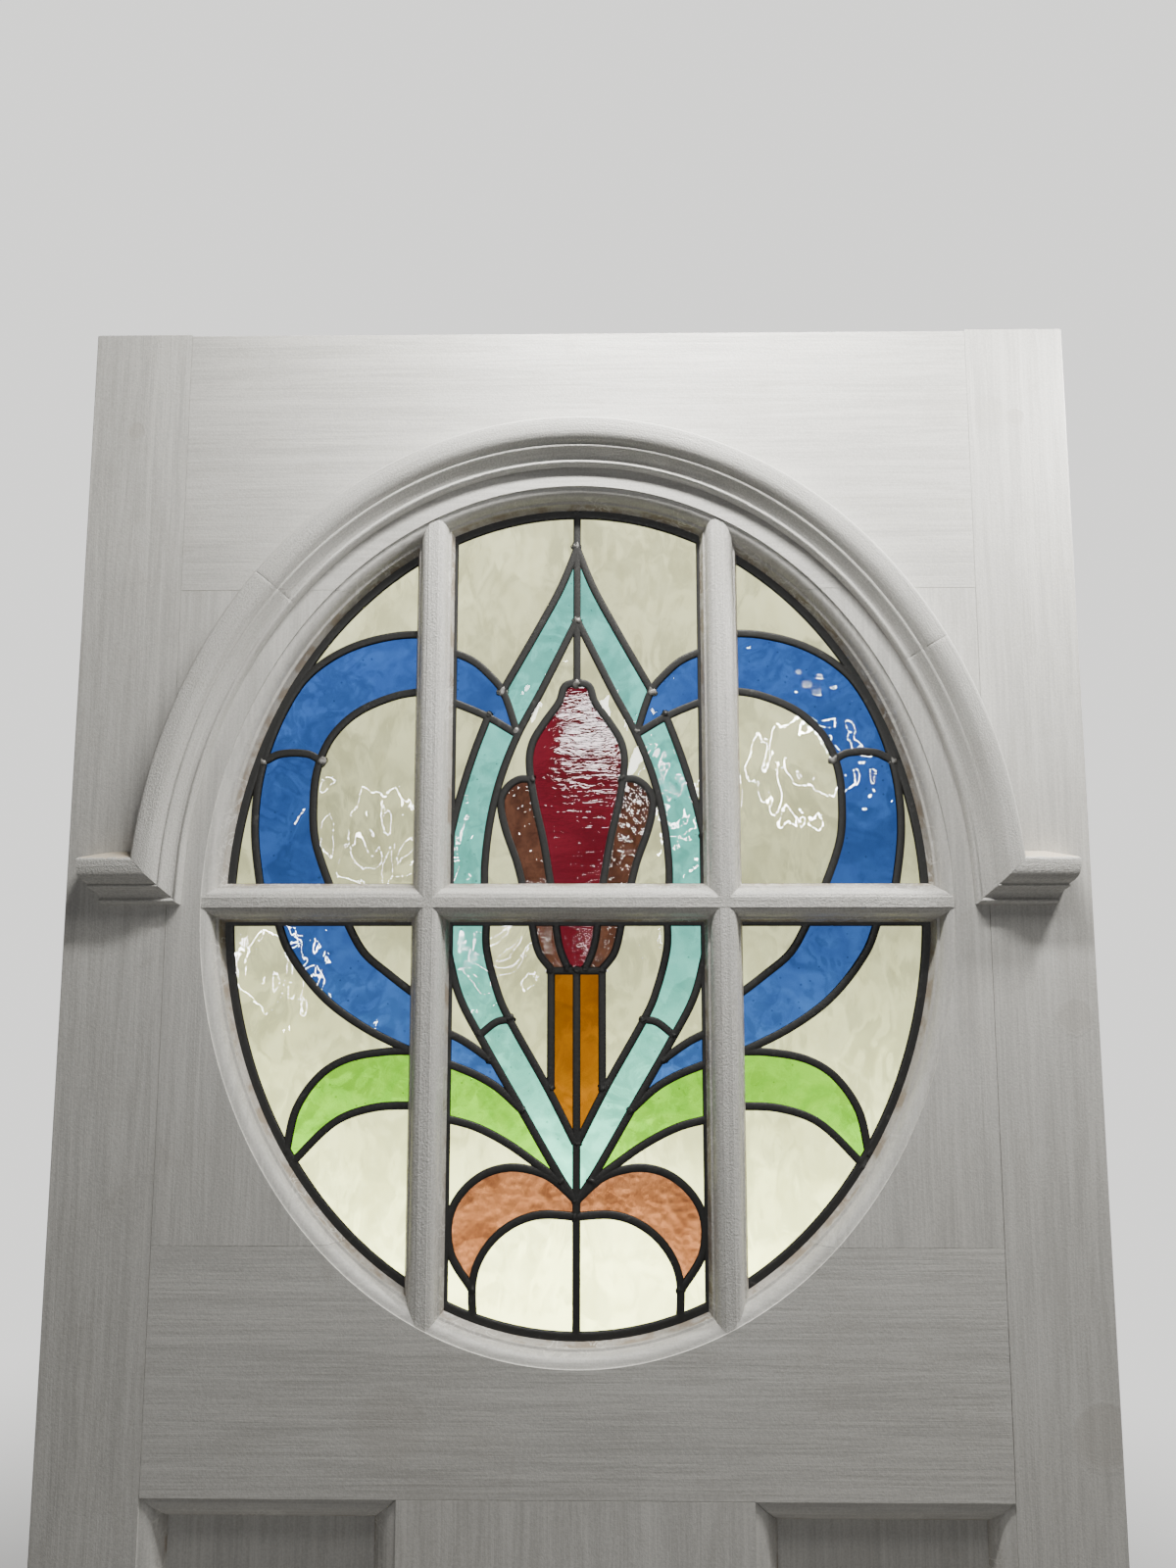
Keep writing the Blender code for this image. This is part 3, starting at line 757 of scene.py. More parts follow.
class SharedEffects:
    """Node groups that more than one finish uses."""

    @staticmethod
    def start(name: str, inputs: dict[str, Socket],
              outputs: dict[str, Socket]) -> tuple[Shading, bpy.types.Node, bpy.types.Node]:
        """Empty group with named sockets.

        Args:
            name: the group's name.
            inputs: socket names and types.
            outputs: socket names and types.
        Returns:
            The shading helper, the inputs' node and the outputs' node.
        """
        tree = bpy.data.node_groups.new(name, "ShaderNodeTree")
        for label, kind in inputs.items():
            tree.interface.new_socket(label, in_out="INPUT", socket_type=kind.value)
        for label, kind in outputs.items():
            tree.interface.new_socket(label, in_out="OUTPUT", socket_type=kind.value)
        shading = Shading(tree)
        return shading, shading.add("NodeGroupInput"), shading.add("NodeGroupOutput")

    @classmethod
    def brushed_paint(cls) -> None:
        """Brush strokes over the wood's grain: a tone round 0.5 and a height."""
        net, given, result = cls.start(
            "Brushed paint", {"Vector": Socket.VECTOR, "Grain": Socket.VALUE, "Grit": Socket.VALUE},
            {"Tone": Socket.VALUE, "Height": Socket.VALUE})
        vector = given.outputs["Vector"]
        hairs = net.cloud(net.stretch(vector, (16.0, 950.0, 950.0)), 1.0, 1.0, 0.5)
        strokes = net.cloud(net.stretch(vector, (11.0, 330.0, 330.0)), 1.0, 2.0, 0.6, 0.3)
        sweeps = net.cloud(net.stretch(vector, (4.0, 75.0, 75.0)), 1.0, 3.0, 0.55)
        grit = net.math("MULTIPLY", net.cloud(vector, 520.0, 3.0, 0.65), given.outputs["Grit"])
        mottle = net.math("SUBTRACT", grit, net.math("MULTIPLY", given.outputs["Grit"], 0.5))
        figure = net.cloud(net.stretch(vector, (1.3, 26.0, 26.0)), 1.0, 4.0, 0.55, 1.4)
        rings = net.math("PINGPONG", net.math("MULTIPLY", figure, 14.0), 1.0)
        grain = net.math("MULTIPLY", net.math("SUBTRACT", rings, 0.5), given.outputs["Grain"])
        fine = net.math("ADD", net.math("MULTIPLY", hairs, 0.30), net.math("MULTIPLY", strokes, 0.70))
        tone = net.math("ADD", net.math("MULTIPLY", fine, 0.62), net.math("MULTIPLY", sweeps, 0.38))
        tone = net.math("MULTIPLY_ADD", mottle, 0.55, tone)
        relief = net.math("ADD", fine, grit)
        net.put(result.inputs["Tone"], net.math("ADD", tone, net.math("MULTIPLY", grain, 0.22)))
        net.put(result.inputs["Height"], net.math("ADD", relief, net.math("MULTIPLY", grain, 0.50)))

    @classmethod
    def old_coat(cls) -> None:
        """Clean coat to soiled coat in broad clouds and in recesses, where it is painted shade with dirt,
        with thin worn flecks.
        """
        net, given, result = cls.start(
            "Old coat", {"Vector": Socket.VECTOR, "Clean": Socket.COLOUR, "Soiled": Socket.COLOUR,
                         "Tone": Socket.VALUE, "Crevice": Socket.VALUE, "Flecks": Socket.VALUE},
            {"Color": Socket.COLOUR, "Roughness": Socket.VALUE})
        vector = given.outputs["Vector"]
        broad = net.step(net.cloud(vector, 4.5, 4.0, 0.55, 0.6), 0.38, 0.72)
        smudge = net.step(net.cloud(vector, 21.0, 5.0, 0.6, 0.9), 0.52, 0.80)
        soil = net.math("ADD", net.math("MULTIPLY", broad, 0.18), net.math("MULTIPLY", smudge, 0.26))
        # The recess mask lays the soiled colour on as painted shade with dirt.
        soil = net.math("ADD", soil, net.math("MULTIPLY", given.outputs["Crevice"], 0.75), clamp=True)
        coat = net.mix(soil, given.outputs["Clean"], given.outputs["Soiled"])
        fleck = net.step(net.cloud(vector, 380.0, 3.0, 0.7, 0.4), 0.62, 0.72)
        coat = net.over(coat, (0.30, 0.28, 0.25), fleck, given.outputs["Flecks"])
        tone = net.step(given.outputs["Tone"], 0.25, 0.75, 0.81, 1.13)
        net.fill(result, {"Color": net.mix(1.0, coat, net.grey(tone), "MULTIPLY"),
                          "Roughness": net.step(smudge, 0.0, 1.0, 0.42, 0.60)})

    @classmethod
    def moulding_wear_and_recess_shade(cls) -> None:
        """Painted shade with dirt, darker the deeper a moulding lies behind the face, a worn brown edge and
        pale scuffs.
        """
        net, given, result = cls.start(
            "Moulding wear", {"Vector": Socket.VECTOR, "Depth": Socket.VALUE},
            {"Crevice": Socket.VALUE, "Worn": Socket.VALUE, "Scuffs": Socket.VALUE})
        vector, depth = given.outputs["Vector"], given.outputs["Depth"]
        # Painted shade with dirt: darker the deeper a moulding lies behind the face, down to the sticking's
        # depth.
        ends = net.step(depth, STICKING_DEPTH + 1.0 * MM, STICKING_DEPTH + 3.0 * MM, 1.0, 0.0)
        crevice = net.math("MULTIPLY", net.step(depth, 1.0 * MM, STICKING_DEPTH), ends)
        low = net.math("MULTIPLY", net.step(depth, 12.5 * MM, 15.5 * MM), ends)
        worn = net.math("MULTIPLY", low, net.step(net.cloud(vector, 46.0, 4.0, 0.65), 0.44, 0.60))
        line = net.math("ABSOLUTE", net.math("SUBTRACT", net.cloud(vector, 52.0, 3.0, 0.5, 1.4), 0.5))
        lot = net.step(net.cloud(vector, 10.0, 2.0), 0.44, 0.58)
        scuffs = net.math("MULTIPLY", net.step(line, 0.006, 0.032, 1.0, 0.0), lot)
        net.fill(result, {"Crevice": crevice, "Worn": worn,
                          "Scuffs": net.math("MULTIPLY", scuffs, net.step(crevice, 0.02, 0.2))})

    @classmethod
    def round_patch(cls) -> None:
        """Mask of a filled plug or knot: 1 inside, with a soft uneven edge."""
        net, given, result = cls.start(
            "Round patch", {"Centre": Socket.VECTOR, "Radius": Socket.VALUE},
            {"Mask": Socket.VALUE, "Rim": Socket.VALUE})
        here = net.here()
        away = net.add("ShaderNodeVectorMath", operation="DISTANCE")
        net.put(away.inputs[0], here)
        net.put(away.inputs[1], given.outputs["Centre"])
        uneven = net.math("MULTIPLY_ADD", net.cloud(here, 90.0, 3.0), 0.006, away.outputs["Value"])
        edge = net.math("DIVIDE", uneven, given.outputs["Radius"])
        net.put(result.inputs["Mask"], net.step(edge, 0.9, 1.35, 1.0, 0.0))
        ring = net.math("ABSOLUTE", net.math("SUBTRACT", edge, 1.15))
        net.put(result.inputs["Rim"], net.step(ring, 0.0, 0.16, 1.0, 0.0))

    @classmethod
    def cast_glass(cls) -> None:
        """Figure of hand-made glass: slow waves, fine ripple and a scatter of seeds."""
        net, given, result = cls.start(
            "Cast glass", {"Vector": Socket.VECTOR, "Wave size": Socket.VALUE,
                           "Ripple size": Socket.VALUE, "Seed size": Socket.VALUE},
            {"Wave": Socket.VALUE, "Ripple": Socket.VALUE, "Seeds": Socket.VALUE})
        vector = given.outputs["Vector"]
        wave = net.cloud(vector, net.math("DIVIDE", 1.0, given.outputs["Wave size"]), 2.0, 0.45, 1.6)
        ripple = net.cloud(vector, net.math("DIVIDE", 1.0, given.outputs["Ripple size"]), 1.0, 0.5, 0.8)
        seeds = net.add("ShaderNodeTexVoronoi", feature="F1", distance="EUCLIDEAN")
        net.fill(seeds, {"Vector": vector, "Scale": net.math("DIVIDE", 1.0, given.outputs["Seed size"])})
        lot = net.add("ShaderNodeSeparateColor")
        net.put(lot.inputs[0], seeds.outputs["Color"])
        kept = net.step(lot.outputs[0], 0.45, 0.75)
        spots = net.math("MULTIPLY", kept, net.step(seeds.outputs["Distance"], 0.07, 0.15, 1.0, 0.0))
        net.fill(result, {"Wave": wave, "Ripple": ripple, "Seeds": spots})

    @classmethod
    def build_all(cls) -> None:
        """Makes every shared group once."""
        cls.brushed_paint()
        cls.old_coat()
        cls.moulding_wear_and_recess_shade()
        cls.round_patch()
        cls.cast_glass()


def cleared(holder: bpy.types.Material | bpy.types.World) -> Shading:
    """Shading helper on the emptied node tree of a material or a world.

    Args:
        holder: the material or world.
    Returns:
        The helper.
    """
    holder.use_nodes = True
    holder.node_tree.nodes.clear()
    return Shading(holder.node_tree)


def new_material(name: str) -> tuple[bpy.types.Material, Shading, bpy.types.Node]:
    """Material with only a Principled shader.

    Args:
        name: the material's name.
    Returns:
        The material, its shading helper and that shader.
    """
    material = bpy.data.materials.new(name)
    shading = cleared(material)
    shader = shading.add("ShaderNodeBsdfPrincipled")
    shading.put(shading.add("ShaderNodeOutputMaterial").inputs["Surface"], shader.outputs["BSDF"])
    return material, shading, shader


@dataclass(frozen=True)
class PaintFinish:
    """Old brush paint on timber."""

    name: str
    grain: Grain
    clean: Colour = (0.640, 0.635, 0.610)
    soiled: Colour = (0.47, 0.445, 0.405)
    brown: Colour = (0.30, 0.235, 0.17)
    pale: Colour = (0.74, 0.73, 0.69)
    cream: Colour = (0.70, 0.62, 0.50)
    grain_strength: float = 0.40
    brush_depth: float = 0.18 * MM
    grit: float = 1.1
    flecks: float = 0.10
    # Strength of the painted recess shade with dirt; at zero the worn edge and scuffs are left out too.
    wear_and_recess_shade: float = 1.0
    bare_above: float | None = None
    patches: tuple[tuple[float, float, float, float], ...] = ()

    def material(self, plan: DoorPlan) -> bpy.types.Material:
        """Builds the material.

        Args:
            plan: gives the depth of the face, behind which the mouldings are darker, as painted shade with
                dirt.
        Returns:
            The finished material.
        """
        material, net, shader = new_material(self.name)
        where = net.position(self.grain)
        brush = net.group("Brushed paint", vector=where, grain=self.grain_strength, grit=self.grit)
        here = net.here()
        parts = net.add("ShaderNodeSeparateXYZ")
        net.put(parts.inputs[0], here)
        behind = net.math("SUBTRACT", parts.outputs["Y"], plan.front)
        wear_and_recess_shade = net.group("Moulding wear", vector=here, depth=behind)
        # Recesses darken as painted shade with dirt.
        coat = net.group("Old coat", vector=here, clean=(*self.clean, 1.0), soiled=(*self.soiled, 1.0),
                         tone=brush.outputs["Tone"], flecks=self.flecks,
                         crevice=net.math("MULTIPLY", wear_and_recess_shade.outputs["Crevice"], self.wear_and_recess_shade))
        colour, height = coat.outputs["Color"], brush.outputs["Height"]
        if self.wear_and_recess_shade:
            colour = net.over(colour, self.brown, wear_and_recess_shade.outputs["Worn"], 0.75)
            colour = net.over(colour, self.pale, wear_and_recess_shade.outputs["Scuffs"], 0.85)
        if self.bare_above is not None:
            ragged = net.math("MULTIPLY_ADD", net.cloud(here, 130.0, 4.0, 0.7), 6.0 * MM, parts.outputs["Z"])
            bare = net.step(ragged, self.bare_above + 2.6 * MM, self.bare_above + 3.4 * MM)
            colour = net.mix(bare, colour, (*self.cream, 1.0))
            height = net.math("SUBTRACT", height, bare)
        for x, z, radius, depth in self.patches:
            spot = net.group("Round patch", centre=(x, plan.front, z), radius=radius)
            colour = net.over(colour, self.soiled, spot.outputs["Mask"], depth)
            height = net.math("ADD", height, net.math("MULTIPLY", spot.outputs["Rim"], depth))
        net.fill(shader, {"Base Color": colour, "Roughness": coat.outputs["Roughness"], "IOR": 1.46,
                          "Normal": net.bump(height, self.brush_depth)})
        return material


@dataclass(frozen=True)
class LeadFinish:
    """Old lead, or the solder on its joints."""

    name: str
    colour: Colour
    bright: Colour
    metallic: float
    bright_share: float

    def material(self) -> bpy.types.Material:
        """Builds the material.

        Returns:
            The finished material.
        """
        material, net, shader = new_material(self.name)
        here = net.here()
        smear = net.step(net.cloud(here, 90.0, 4.0, 0.6, 0.8), 0.62 - self.bright_share, 0.85)
        fine = net.cloud(here, 420.0, 3.0, 0.6)
        net.fill(shader, {"Base Color": net.mix(smear, (*self.colour, 1.0), (*self.bright, 1.0)),
                          "Roughness": net.step(fine, 0.2, 0.8, 0.38, 0.62), "Metallic": self.metallic,
                          "Normal": net.bump(net.math("ADD", fine, smear), 0.35 * MM, 0.6)})
        return material


@dataclass(frozen=True)
class GlassFinish:
    """One kind of sheet glass: its tint and its figure."""

    name: str
    tint: Colour
    deep: Colour
    figure: Figure
    relief: float
    relief_size: float
    pitch: float
    ripple: float = 0.03 * MM
    ripple_size: float = 7.0 * MM

    @property
    def stretch(self) -> tuple[float, float, float]:
        """How the figure is drawn out along the sheet."""
        drawn = {Figure.STREAKY: (0.22, 1.0, 1.0), Figure.WAVY: (1.0, 1.0, 0.55)}
        return drawn.get(self.figure, (1.0, 1.0, 1.0))

    def lift(self, x: float, z: float, shift: float) -> float:
        """How far the glass stands out at a place, as the sheet was cast or drawn.

        Args:
            x: distance across the door.
            z: height.
            shift: a number of the pane's own, so that no two panes match.
        Returns:
            Height above the mean face, in metres.
        """
        along, _, up = self.stretch
        spot = Vector((x * along / self.relief_size, shift, z * up / self.relief_size))
        if self.figure is Figure.HAMMERED:
            return self.relief * (0.5 - noise.noise(spot, noise_basis="VORONOI_F1") * 1.6)
        warp = noise.noise_vector(spot * 0.45) * 0.9
        broad = noise.noise(spot * 0.21 + Vector((7.0, 0.0, 3.0))) * 2.2 + 0.5
        calm = 0.35 + 0.65 * min(max(broad, 0.0), 1.0)
        return self.relief * calm * (noise.noise(spot + warp) + 0.12 * noise.noise(spot * 2.6))

    def material(self) -> bpy.types.Material:
        """Builds the material: tint that varies with the figure, seeds and a fine ripple.

        Returns:
            The finished material.
        """
        material, net, shader = new_material(self.name)
        here = net.here()
        shift = net.add("ShaderNodeAttribute", attribute_name="pane")
        moved = net.add("ShaderNodeVectorMath", operation="ADD")
        net.put(moved.inputs[0], here)
        net.put(moved.inputs[1], shift.outputs["Vector"])
        sheet = net.group("Cast glass", vector=net.stretch(moved.outputs[0], self.stretch), wave_size=0.034,
                          ripple_size=self.ripple_size, seed_size=0.0085)
        strength = {Figure.SEEDY: 0.6, Figure.HAMMERED: 0.9}.get(self.figure, 0.5)
        tint = net.over((*self.tint, 1.0), self.deep, net.step(sheet.outputs["Wave"], 0.38, 0.68), strength)
        height = sheet.outputs["Ripple"]
        if self.figure is Figure.SEEDY:
            dark = tuple(0.30 * part for part in self.deep)
            tint = net.over(tint, dark, sheet.outputs["Seeds"], 0.8)
            height = net.math("ADD", height, net.math("MULTIPLY", sheet.outputs["Seeds"], 0.6))
        net.fill(shader, {"Base Color": tint, "Roughness": 0.0, "IOR": 1.5, "Transmission Weight": 1.0,
                          "Normal": net.bump(height, self.ripple)})
        return material


GLASSES = {
    "clear": GlassFinish("Clear glass", (0.82, 0.825, 0.475), (0.68, 0.67, 0.36), Figure.WAVY,
                         relief=0.50 * MM, relief_size=19.0 * MM, pitch=2.2 * MM),
    "blue": GlassFinish("Blue glass", (0.035, 0.112, 0.39), (0.024, 0.075, 0.29), Figure.SEEDY,
                        relief=0.36 * MM, relief_size=14.0 * MM, pitch=1.5 * MM, ripple=0.025 * MM),
    "turquoise": GlassFinish("Turquoise glass", (0.185, 0.71, 0.61), (0.12, 0.54, 0.46), Figure.SEEDY,
                             relief=0.28 * MM, relief_size=14.0 * MM, pitch=1.8 * MM, ripple=0.025 * MM),
    "red": GlassFinish("Red glass", (0.16, 0.011, 0.022), (0.11, 0.006, 0.014), Figure.STREAKY,
                       relief=0.10 * MM, relief_size=6.0 * MM, pitch=1.2 * MM, ripple=0.10 * MM,
                       ripple_size=2.6 * MM),
    "brown": GlassFinish("Brown glass", (0.125, 0.052, 0.032), (0.075, 0.030, 0.020), Figure.HAMMERED,
                         relief=0.13 * MM, relief_size=7.5 * MM, pitch=1.0 * MM),
    "amber": GlassFinish("Amber glass", (0.285, 0.098, 0.001), (0.215, 0.064, 0.001), Figure.SMOOTH,
                         relief=0.25 * MM, relief_size=22.0 * MM, pitch=2.5 * MM),
    "green": GlassFinish("Green glass", (0.20, 0.53, 0.018), (0.12, 0.39, 0.010), Figure.SEEDY,
                         relief=0.34 * MM, relief_size=14.0 * MM, pitch=2.0 * MM, ripple=0.05 * MM),
    "rose": GlassFinish("Rose brown glass", (0.195, 0.072, 0.034), (0.105, 0.036, 0.017), Figure.HAMMERED,
                        relief=0.18 * MM, relief_size=7.0 * MM, pitch=1.0 * MM),
}


# Filled plugs and stains on the face: X, Z, radius and strength
STILE_PATCHES = ((0.866, 0.981, 0.010, 0.45), (0.042, 0.972, 0.010, 0.40), (0.893, 0.430, 0.016, 0.30),
                 (0.900, 0.085, 0.026, 0.35), (0.842, 0.985, 0.018, 0.22))
RAIL_PATCHES = ((0.800, 0.990, 0.022, 0.18), (0.300, 0.090, 0.030, 0.20), (0.620, 1.010, 0.030, 0.14))
HOOD_PATCHES = ((0.482, 0.973, 0.012, 0.50),)


@dataclass
class DoorFrame:
    """Stiles, rails, cheeks, muntin and the two sunk panels."""

    plan: DoorPlan
    level: bpy.types.Material
    upright: bpy.types.Material
    sunk: bpy.types.Material
    joint_ease: float = 0.15 * MM
    arris_ease: float = 1.4 * MM

    def outlines(self) -> dict[str, tuple[list[Point], bpy.types.Material]]:
        """Outline in X and Z and finish of each member, with lips for the moulded edges of the panels.

        Returns:
            Both for each node's name.
        """
        plan = self.plan
        left, right = plan.stile + GAP, plan.width - plan.stile - GAP
        edge, lip = plan.stile, plan.stile + LIP

        def turned(points: Iterable[Point]) -> list[Point]:
            """The same points on the other side of the door's middle, in reverse."""
            return [(plan.width - x, z) for x, z in reversed(list(points))]

        stile = [(0.0, plan.foot), (edge, plan.foot), (edge, plan.panel_foot), (lip, plan.panel_foot + LIP),
                 (lip, plan.panel_top - LIP), (edge, plan.panel_top), (edge, plan.horn_top),
                 (0.0, plan.horn_top)]
        inner = plan.muntin_left - GAP
        lock_edge = [(left, plan.panel_top), (left + LIP, plan.panel_top - LIP),
                     (inner - LIP, plan.panel_top - LIP), (inner, plan.panel_top)]
        foot_edge = [(left, plan.panel_foot), (left + LIP, plan.panel_foot + LIP),
                     (inner - LIP, plan.panel_foot + LIP), (inner, plan.panel_foot)]
        side = [(plan.muntin_right, plan.panel_foot + GAP),
                (plan.muntin_right + LIP, plan.panel_foot + LIP + GAP),
                (plan.muntin_right + LIP, plan.panel_top - LIP - GAP),
                (plan.muntin_right, plan.panel_top - GAP)]
        lock_top, cheek_top, middle = plan.cheek_foot - GAP, plan.cheek_top - GAP, plan.oval.centre_x
        cheek = [(left, plan.cheek_foot), (middle, plan.cheek_foot), (middle, cheek_top), (left, cheek_top)]
        return {
            "hinge_stile": (stile, self.upright),
            "lock_stile": (turned(stile), self.upright),
            "top_rail": ([(left, plan.cheek_top), (right, plan.cheek_top), (right, plan.top),
                          (left, plan.top)], self.level),
            "lock_rail": (lock_edge + turned(lock_edge) + [(right, lock_top), (left, lock_top)], self.level),
            "bottom_rail": (foot_edge + turned(foot_edge) + [(right, plan.foot), (left, plan.foot)],
                            self.level),
            "centre_muntin": (side + turned(side), self.upright),
            "left_cheek": (cheek, self.upright),
            "right_cheek": (turned(cheek), self.upright),
        }

    def board(self, name: str, outline: Sequence[Point], material: bpy.types.Material) -> bpy.types.Object:
        """Member of the door's full thickness with eased edges, more so round the outside of the door.

        Args:
            name: the object's name.
            outline: its outline in X and Z.
            material: its finish.
        Returns:
            The member before it is cut.
        """
        plan = self.plan
        bm = prism([Vector(point) for point in outline], plan.front, plan.back)
        outer, inner = [], []
        for bm_edge in bm.edges:
            middle = (bm_edge.verts[0].co + bm_edge.verts[1].co) / 2
            sides = [middle.x - x for x in (0.0, plan.width)]
            ends = [middle.z - z for z in (plan.foot, plan.top, plan.horn_top)]
            on_rim = any(abs(away) < GAP for away in sides + ends)
            (outer if on_rim else inner).append(bm_edge)
        for edges, ease in ((outer, self.arris_ease), (inner, self.joint_ease)):
            edges = [item for item in edges if item.is_valid]
            if edges:
                bmesh.ops.bevel(bm, geom=edges, offset=ease, segments=2, profile=0.5, affect="EDGES",
                                material=-1)
        return as_object(name, bm, [material])

    def oval_space(self, name: str, clearance: float) -> bpy.types.Object:
        """Space inside the oval: its moulded edge, then the rebate behind.

        Args:
            name: the object's name.
            clearance: how far it stays inside the real edge.
        Returns:
            The cutter.
        """
        plan = self.plan
        rings = [(clearance, -OVERSHOOT)] + [(clearance + point.x, point.y) for point in Section.sticking()]
        rings += [(clearance + REBATE_OFFSET, STICKING_DEPTH),
                  (clearance + REBATE_OFFSET, plan.back - plan.front + OVERSHOOT)]
        return as_object(name, skin([plan.oval.ring(inset, plan.front + depth, OVAL_SIDES)
                                     for inset, depth in rings]))

    def rectangle(self, x0: float, x1: float, inset: float) -> list[Point]:
        """Corners of a panel's opening in X and Z, with an inset on every side."""
        low, high = self.plan.panel_foot + inset, self.plan.panel_top - inset
        return [(x0 + inset, low), (x1 - inset, low), (x1 - inset, high), (x0 + inset, high)]

    def panel_space(self, name: str, x0: float, x1: float) -> bpy.types.Object:
        """Space of one sunk panel: moulded front edge, groove and plain back.

        Args:
            name: the object's name.
            x0: left edge of the opening.
            x1: right edge of the opening.
        Returns:
            The cutter.
        """
        plan = self.plan
        groove, groove_back = LIP - PANEL_TONGUE - GAP, PANEL_SINK + PANEL_THICKNESS + 2 * GAP
        steps = [(0.0, -OVERSHOOT)] + [(point.x, point.y) for point in Section.panel_edge()]
        steps += [(groove, PANEL_SINK), (groove, groove_back), (LIP, groove_back),
                  (LIP, plan.back - plan.front + OVERSHOOT)]
        rings = [[Vector((x, plan.front + depth, z)) for x, z in self.rectangle(x0, x1, inset)]
                 for inset, depth in steps]
        return as_object(name, skin(rings))

    def panel(self, name: str, x0: float, x1: float) -> bpy.types.Object:
        """Flat panel in its groove.

        Args:
            name: the object's name.
            x0: left edge of the opening.
            x1: right edge of the opening.
        Returns:
            The panel.
        """
        outline = [Vector(point) for point in self.rectangle(x0, x1, LIP - PANEL_TONGUE)]
        front = self.plan.front + PANEL_SINK + GAP
        bm = prism(outline, front, front + PANEL_THICKNESS)
        bmesh.ops.bevel(bm, geom=bm.edges[:], offset=self.joint_ease, segments=1, profile=0.5,
                        affect="EDGES", material=-1)
        return as_object(name, bm, [self.sunk])

    def build(self) -> None:
        """Makes the members and the panels."""
        plan = self.plan
        spans = {"left": (plan.stile, plan.muntin_left),
                 "right": (plan.muntin_right, plan.width - plan.stile)}
        spaces = {side: self.panel_space(f"{side} panel space", *span) for side, span in spans.items()}
        oval = self.oval_space("oval space", 0.0)
        both = list(spaces.values())
        cuts = {"hinge_stile": [spaces["left"]], "lock_stile": [spaces["right"]], "top_rail": [oval],
                "lock_rail": [oval] + both, "bottom_rail": both, "centre_muntin": both,
                "left_cheek": [oval], "right_cheek": [oval]}
        for number, (name, (outline, material)) in enumerate(self.outlines().items()):
            board = self.board(f"{name}_timber", outline, material)
            carve(board, cuts[name], Cut.AWAY, keep=True)
            self.dress(board, number, name)
        for number, (side, span) in enumerate(spans.items(), FIRST_PANEL):
            self.dress(self.panel(f"{side}_panel_timber", *span), number, f"{side}_panel")
        for tool in [oval, *both]:
            remove(tool)

    @staticmethod
    def dress(board: bpy.types.Object, number: int, node: str) -> None:
        """Shades a board, gives it a pattern of its own and sets it in the door.

        Args:
            board: the finished board.
            number: a number of its own.
            node: the node that it replaces.
        """
        shade_timber(board)
        mark(board, "board", BOARD_SHIFT * number)
        place(board, "painted_timber", node)


@dataclass
class GlazingBars:
    """One level bar in front, two upright bars halved behind it, scribed to the oval's edge."""

    plan: DoorPlan
    frame: DoorFrame
    level_finish: bpy.types.Material
    upright_finish: bpy.types.Material

    @staticmethod
    def front_section(grow: float) -> list[Vector]:
        """Right half of a bar's moulded front: distance from its middle, depth.

        Args:
            grow: how much wider than the bar it is.
        Returns:
            The half section.
        """
        half = BAR_FILLET / 2
        scale = (BAR_WIDTH / 2 - half) / STICKING_WIDTH
        return [Vector((half + grow + point.x * scale, point.y)) for point in Section.sticking()[1:]]

    def prism(self, name: str, half: Sequence[Vector], grain: Grain, middle: float,
              material: bpy.types.Material | None = None) -> bpy.types.Object:
        """Bar of a half section and its mirror image, as long as the oval.

        Args:
            name: the object's name.
            half: right half of the section, front to back.
            grain: whether the bar lies level or stands upright.
            middle: height of a level bar's middle, or distance across of an upright one's.
            material: its finish, if it is seen.
        Returns:
            The bar before it is scribed.
        """
        oval, front = self.plan.oval, self.plan.front
        outline = list(half) + [Vector((-point.x, point.y)) for point in reversed(half)]
        rings = []
        for way in (-1, 1):
            if grain is Grain.LEVEL:
                end = oval.centre_x + way * oval.half_width
                rings.append([Vector((end, front + point.y, middle + point.x)) for point in outline])
            else:
                end = oval.centre_z + way * oval.half_height
                rings.append([Vector((middle + point.x, front + point.y, end)) for point in outline])
        return as_object(name, skin(rings), [material] if material else [])

    def build(self) -> None:
        """Makes the three bars."""
        plan = self.plan
        depth = plan.back - plan.front
        tongue = [Vector((TONGUE_HALF, STICKING_DEPTH)), Vector((TONGUE_HALF, depth))]
        whole = self.front_section(0.0) + tongue
        oval = self.frame.oval_space("bar space", GAP)
        level = self.prism("level_bar_timber", whole, Grain.LEVEL, plan.level_bar_z, self.level_finish)
        carve(level, [oval], Cut.COMMON, keep=True)
        front = [Vector((BAR_FILLET / 2 + GAP, -OVERSHOOT)), *self.front_section(GAP)[1:],
                 Vector((BAR_WIDTH / 2 + GAP, STICKING_DEPTH + GAP))]
        space = self.prism("level bar space", front, Grain.LEVEL, plan.level_bar_z)
        notches = []
        for number, (side, way) in enumerate((("left", -1), ("right", 1))):
            middle = plan.oval.centre_x + way * BAR_OFFSET
            bar = self.prism(f"{side}_bar_timber", whole, Grain.UPRIGHT, middle, self.upright_finish)
            carve(bar, [oval], Cut.COMMON, keep=True)
            carve(bar, [space], Cut.AWAY, keep=True)
            DoorFrame.dress(bar, FIRST_BAR + number, f"{side}_bar")
            reach = TONGUE_HALF + GAP
            corners = [Vector((middle + x, plan.level_bar_z + z)) for x, z in (
                (-reach, -BAR_WIDTH), (reach, -BAR_WIDTH), (reach, BAR_WIDTH), (-reach, BAR_WIDTH))]
            notch = prism(corners, plan.front + STICKING_DEPTH, plan.back + OVERSHOOT)
            notches.append(as_object("notch", notch))
        carve(level, notches, Cut.AWAY)
        DoorFrame.dress(level, FIRST_BAR + 2, "level_bar")
        remove(space)
        remove(oval)


